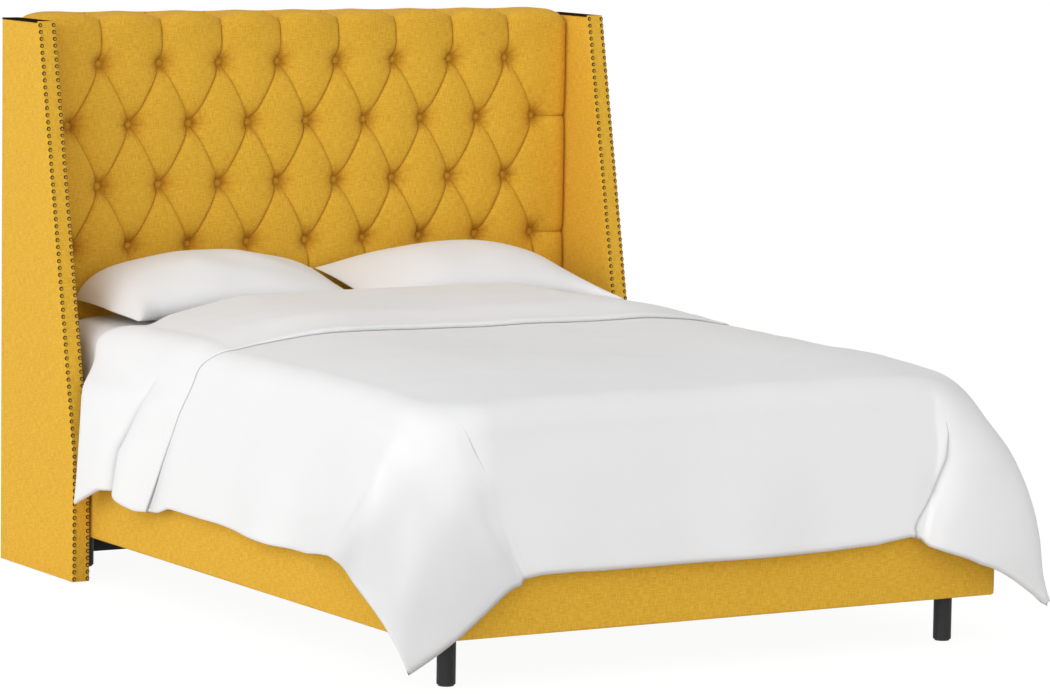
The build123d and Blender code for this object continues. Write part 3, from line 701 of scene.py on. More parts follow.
def make_dust_cloth():
    """Dust cloth: a thin rectangle drawn flat over the headboard's back, bowed very slightly."""
    low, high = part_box("headboard_back_cover")
    across, up = np.linspace(0, 1, 60)[None, :], np.linspace(0, 1, 50)[:, None]
    wide, tall = high.x - low.x, high.z - low.z
    x, z = low.x + across * wide, low.z + up * tall
    thick, inset, bow = 0.0006, 0.0002, 0.0003
    bowed = bow * np.sqrt(arch(across) * arch(up))
    points = place(x, BACK - low.y - inset - bowed, z)
    return add_solidify(build("headboard_dust_cloth", [(points, x, z, False)]), thick), (wide, tall)


class BED_OT_dust_cloth(bpy.types.Operator):
    """Makes the dust cloth on the headboard's back"""

    bl_idname = "bed.dust_cloth"
    bl_label = "Dust cloth"

    def execute(self, context):
        piece, flat = make_dust_cloth()
        dress(piece, "Dust cloth", nodes=["headboard_back_cover"])
        return {"FINISHED"}


# Wings: height of the cloth's lower edge over the floor
WING_FOOT = 0.004


def front_at(z):
    """Distance of a wing's front edge from the bed's back: steady to the bend, then drawn back evenly."""
    bend, soft = 0.314, 0.012
    lean = (WING_DEPTH_LOW - WING_DEPTH_TOP) / (HEADBOARD_TOP - bend)
    above = z - bend
    eased = np.where(above < -soft, 0, (above + soft) ** 2 / (4 * soft))
    return WING_DEPTH_LOW - lean * np.where(above > soft, above, eased)


def make_wing_panel(name, side, outer):
    """One wing face: rounded slab between the bed's back and the front band."""
    thick, rim, behind, band, cap = 0.003, 0.0026, 0.0022, 0.0036, 0.0042
    base = HALF_WIDTH - thick if outer else WING_INNER + thick
    way = 1 if outer else -1

    def put(d, z, out):
        return place(side * (base + way * out), d, z)

    return slab(name, lambda z: 0 * z + behind, lambda z: front_at(z) - band, WING_FOOT, HEADBOARD_TOP - cap,
                thick, rim, crown=0.0, put=put, inner=10, tall=40)


def make_wing_band(name, side):
    """Front band: rounded slab across the wing's thickness that follows its front edge."""
    rim, crown = 0.0034, 0.0002

    def put(x, z, out):
        return place(side * x, front_at(z) - BAND_THICK + out, z)

    return slab(name, lambda z: 0 * z + WING_INNER, lambda z: 0 * z + HALF_WIDTH, WING_FOOT, HEADBOARD_TOP,
                BAND_THICK, rim, crown, put, inner=8, tall=60)


def make_nails(name, side, sizes):
    """Nail heads: one dome, steep at its rim and nearly flat on top, at each place of two lines."""
    ring = np.linspace(0, 2 * pi, 10, endpoint=False)
    share = np.array([1.0, 0.88, 0.62, 0.34, 0.0])
    height, sunk = 0.0031, 0.0002
    rise = height * np.array([[0.0], [0.40], [0.74], [0.93], [1.0]])
    wide = share[:, None] * sizes.nail_radius
    dome = table(np.cos(ring) * wide, -rise, np.sin(ring) * wide)
    top, foot, inset, jitter = HEADBOARD_TOP - 0.010, 0.008, 0.0054, 0.0008
    count = int((top - foot) / sizes.nail_pitch) + 1
    z = top - np.arange(count) * sizes.nail_pitch
    draw = np.random.default_rng(11 + side)
    grids = []
    for x in (WING_INNER + inset, HALF_WIDTH - inset):
        moved = (draw.random((count, 2)) - 0.5) * jitter
        centres = place(side * (x + moved[:, 0]), front_at(z) - sunk, z + moved[:, 1])
        grids += [(centre + dome, 0, 1 - share[:, None], True) for centre in centres]
    return build(name, grids, 1e-6, 12)


class BED_OT_wings(bpy.types.Operator):
    """Makes the two upholstered wings with their rows of nail heads"""

    bl_idname = "bed.wings"
    bl_label = "Wings"

    def execute(self, context):
        for side, word in ((1, "right"), (-1, "left")):
            for outer, face in ((True, "outer"), (False, "inner")):
                panel = make_wing_panel(f"wing_{face}_upholstery_{word}", side, outer)
                upholster(panel, f"wing_{face}_panel_{word}")
            upholster(make_wing_band(f"wing_band_upholstery_{word}", side), f"wing_front_band_{word}")
            nails = make_nails(f"nail_heads_{word}", side, context.scene.bed_sizes)
            dress(nails, "Aged brass")
        return {"FINISHED"}


# Rails
def rail_section(deep):
    """Rail outline as (inset from the outer face, height): over the top, down the face and under."""
    low, high, rim = RAIL_LOW, RAIL_HIGH, RAIL_RIM
    turn = np.linspace(0, pi / 2, 6)
    fall = np.linspace(high - rim, low + rim, 14)[1:-1]
    ends = np.linspace(deep, rim, 4)[:-1]
    return np.concatenate([
        table(ends, high), table(rim - rim * np.sin(turn), high - rim + rim * np.cos(turn)), table(0, fall),
        table(rim - rim * np.cos(turn), low + rim - rim * np.sin(turn)), table(ends[::-1], low)])


def ripple(size, along, height, seed, inset):
    """Slight unevenness of a rail cover's face, and none on its other sides."""
    return size * waves(along, height, seed, 6, 0.15, 0.5) * (inset < 0.001)


def make_side_cover(name, side):
    """Side rail cover: the rail outline swept along the bed, with a slightly uneven face."""
    section = rail_section(RAIL_HALF - RAIL_INNER)
    inset, z = section.T
    start, end = 0.0341, FOOT_BACK - 0.0003
    d = np.linspace(start, end, 60)[:, None]
    soft = ripple(0.0012, d, z[None, :], 5 + side, inset)
    points = place(side * (RAIL_HALF - COVER_GAP - inset + soft), d, z)
    return add_solidify(build(name, [(points, d, run_along(section)[None, :], False)]), COVER_THICK)


def make_foot_cover(name):
    """Foot rail cover: the rail outline swept round the plan line, its flat parts drawn in to a line."""
    corner, spine_inset, spine_gap, longest_step = 0.012, 0.028, 0.0002, 0.02
    turn = np.linspace(0, pi / 2, 9)
    straight = np.linspace(FOOT_BACK, FOOT_FACE - corner, 4)[:-1]
    bend = rounded(corner - RAIL_HALF, FOOT_FACE - corner, corner, -np.cos(turn), np.sin(turn))[:, :2]
    half = np.concatenate([table(-RAIL_HALF, straight), bend])
    front = table(np.linspace(-RAIL_HALF + corner, RAIL_HALF - corner, 80)[1:-1], FOOT_FACE)
    path = np.concatenate([half, front, half[::-1] * np.array([-1, 1])])
    spine_half = RAIL_HALF - spine_inset
    way = table(np.clip(path[:, 0], -spine_half, spine_half), FOOT_BACK + spine_gap) - path
    reach = np.maximum(np.hypot(way[:, 0], way[:, 1]), 1e-6)[:, None]
    section = rail_section(1.0)
    inset, z = section.T
    rim = np.minimum(inset, RAIL_RIM)
    share = np.where(inset > RAIL_RIM, (inset - RAIL_RIM) / (1 - RAIL_RIM), 0)
    move = np.where(reach < RAIL_RIM + 0.001, 0, (rim + share * (reach - rim)) / reach)
    soft = ripple(0.0010, path[:, :1], z[None, :], 9, inset)
    plan = path[:, None, :] + way[:, None, :] * move[..., None]
    points = place(plan[..., 0], plan[..., 1] - COVER_GAP * (1 - share) + soft, z)
    steps = np.minimum(np.hypot(*np.diff(section, axis=0).T), longest_step)
    run = np.concatenate([[0], np.cumsum(steps)])
    return add_solidify(build(name, [(points, run_along(path)[:, None], run[None, :], False)]), COVER_THICK)


class BED_OT_rails(bpy.types.Operator):
    """Makes the upholstered covers of the side rails and the foot rail"""

    bl_idname = "bed.rails"
    bl_label = "Rail covers"

    def execute(self, context):
        for side, word in ((1, "right"), (-1, "left")):
            cover = make_side_cover(f"side_rail_upholstery_{word}", side)
            upholster(cover, f"side_rail_cover_{word}")
        upholster(make_foot_cover("foot_rail_upholstery"), "foot_rail_cover")
        return {"FINISHED"}


# Mattress
def nearness(where, end, width):
    """Squared ramp that is 0 until a width before an end, and 1 from the end on."""
    return np.clip(1 - (end - where) / width, 0, 1) ** 2


def mattress_rise(x, d):
    """Height of the mattress's top, which droops a little towards its sides and its foot."""
    near_side, near_foot = nearness(np.abs(x), FLAT_HALF, 0.32), nearness(d, FLAT_FOOT, 0.45)
    return MATTRESS_HIGH.z - 0.010 * near_side - 0.017 * near_foot - 0.012 * near_side * near_foot


def plan_ring():
    """Closed plan outline of the mattress with its outward directions, from the middle of the head."""
    turn = np.linspace(0, pi / 2, 13)
    half = np.concatenate([
        table(np.linspace(0, HALF - HEAD_CORNER, 14)[:-1], HEAD_END, 0, -1),
        rounded(HALF - HEAD_CORNER, HEAD_END + HEAD_CORNER, HEAD_CORNER, np.sin(turn), -np.cos(turn)),
        table(HALF, np.linspace(HEAD_END + HEAD_CORNER, FOOT_END - CORNER, 40)[1:-1], 1, 0),
        rounded(HALF - CORNER, FOOT_END - CORNER, CORNER, np.cos(turn), np.sin(turn)),
        table(np.linspace(HALF - CORNER, 0, 14)[1:], FOOT_END, 0, 1)])
    return np.concatenate([half, half[::-1][1:-1] * np.array([-1, 1, -1, 1])])


def make_mattress():
    """Covered mattress: rings of a rounded plan line, out from a spine, up, over a round edge, back in."""
    ring = plan_ring()
    plan, normal = ring[:, :2], ring[:, 2:]
    low, high = MATTRESS_LOW.z + 0.0006, MATTRESS_HIGH.z
    spine = table(0, np.clip(plan[:, 1], HEAD_END + HALF, FOOT_END - HALF))
    under = 0.020
    steps = [(share, under, low) for share in (0.0, 0.35, 0.7, 0.93)]
    steps += [(1.0, under * (1 - sin(a)), low + under * (1 - cos(a))) for a in np.linspace(0, pi / 2, 7)]
    steps += [(1.0, 0.0, z) for z in np.linspace(low + under, high - EDGE, 14)[1:-1]]
    steps += [(1.0, EDGE * (1 - cos(a)), high - EDGE + EDGE * sin(a)) for a in np.linspace(0, pi / 2, 11)]
    steps += [(share, EDGE, high) for share in (0.95, 0.88, 0.78, 0.65, 0.5, 0.32, 0.15, 0.0)]
    around = run_along(plan)
    rows = []
    for share, inset, z in steps:
        rim = plan - normal * (inset + COVER_GAP)
        if share == 1.0:
            on_side = smooth((z - low - 0.02) / 0.05) * smooth((high - 0.03 - z) / 0.05)
            dent = 0.0010 * (1 + waves(around, around * 0 + z * 0.6, 21, 8, 0.12, 0.4)) * on_side
            rim = rim - normal * dent[:, None]
        x, d = (spine + (rim - spine) * share).T
        drop = MATTRESS_HIGH.z - mattress_rise(x, d)
        rows.append(place(x, d, z - drop * smooth((z - 0.42) / 0.15) - 0.0004))
    points = np.stack(rows)
    around = np.concatenate([around, [around[-1] + 0.05]])
    grid = (points, around[None, :], run_along(points[:, 20])[:, None], True)
    return build("covered_mattress", [grid], merge=1e-4)


class BED_OT_mattress(bpy.types.Operator):
    """Makes the mattress in its plain fitted cover"""

    bl_idname = "bed.mattress"
    bl_label = "Mattress"

    def execute(self, context):
        piece = make_mattress()
        dress(piece, "Mattress cover", body="mattress", nodes=["mattress"])
        return {"FINISHED"}


# Duvet: length of fall over which its swells grow, and how far the left fin stands out
FULL_FALL = 0.34
FIN = 0.084


def drape(u, w, lift):
    """Place of a sheet point u across and w along the bed, lift above the mattress.

    Flat on top, a quarter round over the edge, then a slightly spreading fall. At a foot corner the two
    falls meet in a tip. On the left the cloth beside it turns out in a fin that faces the foot, on the
    right it swells. Also returns how far the point lies past the corner's middle each way, and its fall.
    """
    flat = CORNER - EDGE
    centre_x, centre_d = HALF - CORNER, FOOT_END - CORNER
    s = np.maximum(np.abs(u) - centre_x, 0)
    t = np.maximum(w - centre_d, 0)
    r = np.hypot(s, t)
    angle = np.arctan2(t, np.maximum(s, 1e-9))
    past = np.maximum(r - flat, 0)
    bend = np.minimum(past / EDGE_ARC, 1) * pi / 2
    q = np.maximum(past - EDGE_ARC, 0)
    fall = q / FULL_FALL
    radius = EDGE + lift
    right = u >= 0
    corner = (s > 0) & (t > 0)

    def either(on_right, on_left):
        return np.where(right, on_right, on_left)

    # The fall's spread and slope, more at the corners
    swell = 0.088 * smooth(past / 0.24) - 0.028 * smooth((q - 0.08) / 0.20)
    swell = either(swell - 0.018 * smooth((q - 0.38) / 0.19), 0.012 * smooth(q / 0.16))
    spread = 0.046 * fall ** 1.3 + np.sin(2 * angle) * corner * swell
    reach = np.minimum(r, flat) + radius * np.sin(bend) + spread
    slope = 0.965 - either(0.125, 0.048) * np.sin(2 * angle) ** 2 * corner
    height = mattress_rise(u, w) - EDGE + radius * np.cos(bend) - slope * q

    # The corner: side and foot hang as two flat cloths that meet in the tip
    hold = smooth((q - either(0.0, 0.07)) / either(0.30, 0.34))
    lean_s = 0.175 * np.minimum(fall, 1.25) ** 1.1
    lean_f = 0.070 * np.minimum(fall, 1.25) ** 1.1
    soft = -0.006
    tip_x = reach + either(-0.008, -0.030) * fall - soft
    tip_d = either(-0.030, -0.036) * fall - soft
    a = np.clip(angle / (pi / 4), 0, 1)
    b = np.clip((pi / 2 - angle) / (pi / 4), 0, 1)
    near_side = angle <= pi / 4
    share = either(a ** 2.1, np.sin(pi / 2 * a))
    x_side = reach + (tip_x - reach) * a ** 4
    x_cloth = np.where(near_side, x_side, -lean_f * (1 - b ** 2.1) + tip_x * b ** 2.1)
    d_cloth = np.where(near_side, -lean_s * (1 - share) + (reach + tip_d) * share, reach + tip_d * b ** 4)

    # The fin on the left, which runs on beside the corner
    fin_fall = ~right * np.minimum(fall, 1.2)
    turned = 0.36 * np.minimum(fall, 1.2)
    fin = bell((angle - turned) / np.where(angle < turned, 0.42, 0.25)) * fin_fall
    x_round, d_round = reach * np.cos(angle), reach * np.sin(angle)
    x_corner = x_round + (x_cloth - x_round) * hold + FIN * fin
    d_corner = d_round + (d_cloth - d_round) * hold
    back_from = np.maximum(centre_d - w, 0)
    in_from = np.maximum(centre_x - np.abs(u), 0)
    beside = bell((turned + back_from * 1.5) / 0.42) * fin_fall * (t <= 0)
    d_side = -lean_s * hold * bell(back_from / 0.45)
    x_foot = -lean_f * hold * bell(in_from / 0.25)
    x_straight = np.where(s > 0, reach + FIN * beside, np.where(t > 0, x_foot, 0))
    d_straight = np.where(t > 0, reach, np.where(s > 0, d_side, 0))
    x = np.minimum(np.abs(u), centre_x) + np.where(corner, x_corner, x_straight)
    d = np.minimum(w, centre_d) + np.where(corner, d_corner, d_straight)
    rise = bell((b - either(0.74, 0.56)) / either(0.20, 0.27))
    rise = either(0.020, 0.022) * rise * corner * ~near_side * smooth(q / 0.4)
    height = height + rise + 0.062 * fin * corner + 0.062 * beside
    return either(x, -x), d, height, s, t, q


def side_relief(d, z, fall):
    """Outward swell of the hanging cuff, and how far each place lies past its crease.

    A full panel by the wing, a sharp crease, and a soft roll to the free edge.
    """
    start = 0.42
    crease = np.interp(z, [0.25, 0.372, 0.548, 0.62], [0.672, 0.671, 0.795, 0.86])
    free = np.interp(z, [0.25, 0.279, 0.434, 0.5, 0.555, 0.645], [0.835, 0.842, 0.89, 0.925, 0.960, 1.045])
    panel = np.cos(pi / 2 * np.clip((d - start) / (crease - start), 0, 1)) ** 0.6
    notch = 0.012 * np.exp(-np.abs(d - crease) / 0.008)
    roll = np.sin(pi * np.clip((d - crease) / (free - crease), 0, 1) ** 0.72) ** 0.8
    wave = 0.005 * np.sin(2 * pi * d / 0.46 + 1.0) + 0.0025 * np.sin(2 * pi * d / 0.27)
    wave = (wave + 0.004) * smooth((d - 0.98) / 0.2) * smooth((1.95 - d) / 0.25)
    strength = smooth((0.61 - z) / 0.10) * (0.65 + 0.35 * np.minimum(fall, 1))
    out = (0.034 * panel + 0.026 * roll - notch) * strength + wave * np.minimum(fall, 1)
    broadening = 0.45 - 0.15 * smooth((0.45 - z) / 0.12)
    return out, broadening * (d - crease) / np.maximum(smooth((0.57 - z) / 0.16), 0.02)


def foot_relief(x, z, fall):
    """Outward swell of the hanging foot, and how far each place lies beside the nearer of two creases."""
    crease = np.interp(z, [0.255, 0.275, 0.299, 0.32, 0.378, 0.459, 0.519],
                       [0.540, 0.531, 0.527, 0.538, 0.580, 0.618, 0.634])
    right = x - crease
    depth = smooth((0.56 - z) / 0.10)
    step = 0.009 * smooth(right / 0.030 + 0.5) * np.exp(-np.maximum(right, 0) / 0.14)
    notch = -0.004 * np.exp(-np.abs(right) / 0.008)
    broad = 0.005 * np.sin(2 * pi * x / 0.62 + 0.8) + 0.0025 * np.sin(2 * pi * x / 0.31)
    broad = (broad + 0.004) * smooth((0.60 - np.abs(x)) / 0.25) * np.minimum(fall, 1)
    small = bell((z - 0.545) / 0.035)
    left = x + 0.655 + 0.40 * (z - 0.545)
    out = (step + notch) * depth * (x < 0.80) + broad - 0.008 * np.exp(-np.abs(left) / 0.007) * small
    line = np.where(x > 0, right / np.maximum(depth, 0.02), -left / np.maximum(0.45 * small, 0.02))
    return out, line


def soften(points, mask, passes):
    """Draws grid points towards the mean of their four neighbours by a mask."""
    for _ in range(passes):
        mean = (points[2:, 1:-1] + points[:-2, 1:-1] + points[1:-1, 2:] + points[1:-1, :-2]) / 4
        points[1:-1, 1:-1] += (mean - points[1:-1, 1:-1]) * (0.6 * mask[1:-1, 1:-1, None])
    return points


def duvet_columns(far, rim):
    """Places across the duvet: finer on the top's sides, over the edge, down the fall and at the hem."""
    flat = np.concatenate([np.linspace(0, 0.46, 28), np.linspace(0.46, FLAT_HALF, 48)[1:]])
    arc = FLAT_HALF + np.linspace(0, EDGE_ARC, 11)[1:]
    last = far - rim * (1 - np.sin(np.linspace(0, pi / 2, 6)))
    down = np.linspace(FLAT_HALF + EDGE_ARC, last[0], 30)[1:-1]
    half = np.concatenate([flat, arc, down, last])
    return np.concatenate([-half[::-1][:-1], half])[None, :]


def cuff_lines(sizes, u):
    """Where the duvet is folded back and where the cuff ends, at each place across."""
    s = np.maximum(np.abs(u) - FLAT_HALF, 0)
    q = np.maximum(s - EDGE_ARC, 0)
    bump = bell((np.abs(u) - 0.695) / np.where(np.abs(u) > 0.695, 0.030, 0.060))
    head = 0.495 + 0.055 * bump - 0.076 * smooth(s / 0.09) + 0.062 * smooth(q / 0.34)
    slant = 0.55 * (s - 0.06 * (1 - np.exp(-s / 0.06)))
    wavy = 0.005 * np.sin(u * 7.0 + 0.6) * smooth((0.6 - np.abs(u)) / 0.2)
    free = sizes.cuff_end - slant + wavy - 0.052 * smooth((np.abs(u) - 0.38) / 0.34)
    return head, free - 0.042 * smooth(s / 0.12) + 0.032 * smooth(q / 0.34), q


def hang(u, w, lift, free, edge):
    """Grid of one of the duvet's two faces: draped, then given its hem, swells, folds and creases, with
    painted shade on the left fin and beyond the cuff's lip.
    """
    x, d, z, s, t, q = drape(u + 0 * w, w, lift)
    fall = q / FULL_FALL
    on_side, on_foot = (s > 0) & (t <= 0), t > 0
    amount = smooth(q / 0.10)
    side_hem = np.interp(d, [0.45, 0.49, 0.60, 0.671, 0.70, 0.80, 0.88, 0.937, 1.2, 1.486, 1.80],
                         [-0.050, -0.048, 0, 0.006, -0.010, -0.027, -0.022, -0.004, -0.004, -0.016, -0.006])
    low = np.clip(fall, 0, 1.2) ** 2
    z = z + side_hem * on_side * low * smooth((2.0 - w) / 0.2)
    foot_hem = np.interp(x, [-0.72, -0.60, -0.50, -0.36, 0.28, 0.42, 0.52, 0.58, 0.68],
                         [0.0, 0.003, 0.008, 0.0, 0.002, 0.010, 0.030, 0.018, 0.0])
    z = z + foot_hem * on_foot * low * smooth(t / 0.2)
    swell, side_line = side_relief(d, z, fall)
    x = x + np.sign(u) * swell * on_side * amount
    out, foot_line = foot_relief(x, z, fall)
    d = d + out * on_foot * amount * smooth(t / 0.1)
    turn = np.arctan2(t, np.maximum(s, 1e-9))
    # Painted shade that greys the left fin, which faces the key light, to the tone of the foot
    fin_painted_shade = 0.17 * smooth((w - FLAT_FOOT + 0.05) / 0.15) * smooth((s + 0.02) / 0.12) * (u < 0)
    fin_shade_strength = 1 + 0.55 * bell((turn - 0.30) / 0.25) - 0.35 * smooth((q - 0.38) / 0.16)
    fin_painted_shade = fin_painted_shade * smooth((q + 0.10) / 0.25) * fin_shade_strength
    # Painted shadow on the cover just beyond the cuff's free edge, on the sides
    under = np.where((w > free + 0.003) & on_side, np.exp(-np.maximum(w - free, 0) / 0.016), 0)
    painted_shade = np.clip(fin_painted_shade + 0.75 * under * smooth((q - 0.10) / 0.22), 0, 1)
    line = np.where(on_side & (q > 0.02), side_line, np.where(on_foot & (t > 0.1), foot_line, 1.0))
    mask = bell((turn - pi / 4) / 0.40) * (s > 0) * on_foot * smooth((q + 0.10) / 0.15)
    points = soften(place(x, d, z), mask * smooth((edge - 0.012) / 0.08), 14)
    return points, u + 0 * w, w, False, painted_shade, 0.5 + 10 * np.clip(line, -0.5, 0.5)


def make_duvet(sizes):
    """Duvet: one closed padded cloth, folded back at the head, draped over the mattress.

    Its rows are the nose at the fold, the cuff, its lip, the tuck behind it and the cover to the foot.
    """
    thin, bulk, inside, rim = 0.011, 0.034, 0.0016, 0.014
    lip_out, tuck_back, behind_tuck = 0.009, 0.008, 0.004
    far, end = FLAT_HALF + sizes.duvet_hem, FLAT_FOOT + sizes.duvet_hem
    u = duvet_columns(far, rim)
    head, free, q = cuff_lines(sizes, u)
    nose = np.linspace(0, pi / 2, 9)[:, None]
    share = np.linspace(0, 1, 88)[1:, None]
    lip = np.linspace(0, pi, 11)[1:, None]
    rest = np.linspace(0, 1, 108)[1:, None]
    tuck = np.arange(1, 13)[:, None] / 12
    w_nose = head + bulk * (1 - np.cos(nose))
    w_cuff = head + bulk + (free - head - bulk) * share
    w_rest = free + behind_tuck + (end - free - behind_tuck) * rest
    w_lip = free + lip_out * np.sin(lip)
    w_out = np.concatenate([w_nose, w_cuff, w_lip, free - tuck_back, free - tuck_back / 4, w_rest])
    w_in = np.concatenate([w_nose, w_cuff, free + behind_tuck * tuck, w_rest])
    top_side = 1 - nearness(np.abs(u), FLAT_HALF, 0.34)

    def layer(w):
        top_foot = 1 - nearness(w, FLAT_FOOT, 0.45)
        drop = np.maximum(np.maximum(q, w - FLAT_FOOT - EDGE_ARC), 0)
        return thin + (sizes.duvet_thick - thin) * top_side * top_foot + 0.014 * smooth(drop / 0.12)

    def folded(w):
        low = 1 - 0.30 * smooth((np.abs(u) - 0.38) / 0.22) * np.exp(-np.maximum(w - head, 0) / 0.22)
        return (0.026 + 0.046 * top_side) * low + 0.012 * smooth(q / 0.12)

    fullness = 0.36 + 0.64 * smooth((free - w_cuff) / 0.15)
    cuff_full = layer(w_cuff) + (folded(w_cuff) - layer(w_cuff)) * fullness
    top_nose, under_free = folded(w_nose), layer(free)
    lip_full = under_free + (cuff_full[-1:] - under_free) * (1 + np.cos(lip)) / 2
    outer = np.concatenate([top_nose * (0.5 + 0.5 * np.sin(nose)), cuff_full, lip_full,
                            under_free + 0.0006, under_free - 0.0002, layer(w_rest)])
    inner = inside + 0 * w_in
    inner[:len(nose)] += top_nose * 0.5 * (1 - np.sin(nose))
    is_cuff = (np.arange(len(outer)) < len(nose) + len(share) + len(lip))[:, None]
    middle = np.where(is_cuff, 0.019, thin)
    edge = np.minimum(far - np.abs(u), end - w_out)
    swell = np.where(is_cuff, 0.80 + 0.20 * smooth(edge / 0.10), 0.50 + 0.50 * smooth(edge / 0.12))
    closing = quarter(edge / rim)
    puff = 0.0030 * waves(u, w_out, 31, 7, 0.30, 0.8) + 0.0010 * waves(u * 0.6, w_out, 37, 6, 0.09, 0.22)
    outer = middle + (outer + puff * smooth(edge / 0.1) - middle) * swell * closing
    inner = middle + (inner - middle) * closing
    w_out = w_in + (w_out - w_in) * closing
    faces = [hang(u, w, lift, free, edge) for w, lift in ((w_out, outer), (w_in, inner))]
    return build("duvet_with_folded_cuff", faces, merge=2e-5)


class BED_OT_duvet(bpy.types.Operator):
    """Makes the duvet with its folded cuff"""

    bl_idname = "bed.duvet"
    bl_label = "Duvet"

    def execute(self, context):
        piece = make_duvet(context.scene.bed_sizes)
        dress(piece, "White cotton", body="duvet", nodes=["duvet"])
        return {"FINISHED"}


# Pillows
def make_pillow(name, side, seed):
    """Pillow: two faces over one drawn-in outline, each rising as a root of its distances to the seams."""
    low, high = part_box("pillow_right")
    end_gap, front_gap, rear_gap, lie_gap = 0.001, 0.004, 0.012, 0.0006
    long, middle = (high.x - low.x) / 2 - end_gap, (high.x + low.x) / 2
    front, rear = BACK - low.y - front_gap, BACK - high.y + rear_gap
    a = np.sin(np.linspace(-pi / 2, pi / 2, 84))[:, None]
    b = np.sin(np.linspace(-pi / 2, pi / 2, 52))[None, :]
    end = np.maximum(a, 0) ** 6
    x = middle + long * a * (1 - 0.045 * (1 - b ** 2))
    x = x - end * (0.046 * (1 - b) / 2 + 0.022 * (1 + b) / 2)
    d = (front + rear) / 2 + (front - rear) / 2 * b * (1 - 0.10 * (1 - a ** 2))
    d = d + 0.070 * bell((1 - a) / 0.20) * smooth((b - 0.1) / 0.9)
    z = 0.752 - 0.072 * (b + 1) / 2 + 0.016 * (1 - a ** 2) - 0.058 * end * (1 - b) / 2
    swell = np.maximum(1 - a ** 2, 0) ** 0.74 * np.maximum(1 - b ** 2, 0) ** 0.42
    near = np.exp(-((1 - np.abs(a)) ** 2 + (1 - np.abs(b)) ** 2) / 0.10)
    pull = 0.0035 * np.sin(22 * np.arctan2(1 - np.abs(b), 1 - np.abs(a) + 1e-9)) * near * swell
    grids = []
    for way, full in ((1, 0.084), (-1, 0.074)):
        soft = 0.004 * waves(x, d, seed + way, 8, 0.10, 0.3) * swell
        rise = way * (full * swell + soft + pull)
        face_d = d + 0.19 * rise
        face_z = np.maximum(z + 0.98 * rise, mattress_rise(x, face_d) + lie_gap)
        points = place(side * x, np.maximum(face_d, rear - 0.011), face_z)
        grids.append((points, d, x, False))
    return build(name, grids, merge=2e-5)


class BED_OT_pillows(bpy.types.Operator):
    """Makes the two pillows"""

    bl_idname = "bed.pillows"
    bl_label = "Pillows"

    def execute(self, context):
        for side, word in ((1, "right"), (-1, "left")):
            node = f"pillow_{word}"
            piece = make_pillow(f"soft_{node}", side, 50 + side)
            dress(piece, "White cotton", body=node, nodes=[node])
        return {"FINISHED"}


# Nodes that keep their shape
NODE_FINISHES = (
    # The buttons and the lower headboard panel take the linen in painted shade
    ("Mustard linen in painted shade", ("tuft_buttons", "lower_headboard_panel")),
    # The wing caps take painted shade
    ("Wing cap painted shade", ("wing_top_cap",)),
    ("Dust cloth", ("headboard_back_cover",)),
    ("Button twine", ("button_twines",)),
    ("Slat webbing", ("slat_straps",)),
    ("Plywood", ("tuft_board",)),
    ("Timber upright", ("headboard_post", "wing_frame", "centre_leg")),
    ("Timber across", ("headboard_cross_rails", "foot_rail", "head_cross_rail", "slats", "corner_blocks")),
    ("Timber along", ("side_rail", "slat_ledger", "centre_beam")),
    ("Black nylon", ("wing_glides", "leg_glide")),
    ("Black stained leg", ("leg_front", "leg_rear")),
    ("Zinc steel", ("head_corner_plates", "foot_corner_plates", "head_plate_bolts", "foot_plate_bolts",
                    "wing_bolts", "hanger_bolts", "levelling_foot")),
)


class BED_OT_frame_finishes(bpy.types.Operator):
    """Gives the nodes that keep their shape their finishes"""

    bl_idname = "bed.frame_finishes"
    bl_label = "Frame finishes"

    def execute(self, context):
        for name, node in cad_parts.items():
            found = [finish for finish, starts in NODE_FINISHES if name.startswith(starts)]
            node.data.materials.clear()
            node.data.materials.append(bpy.data.materials[found[0] if found else "Timber across"])
        return {"FINISHED"}


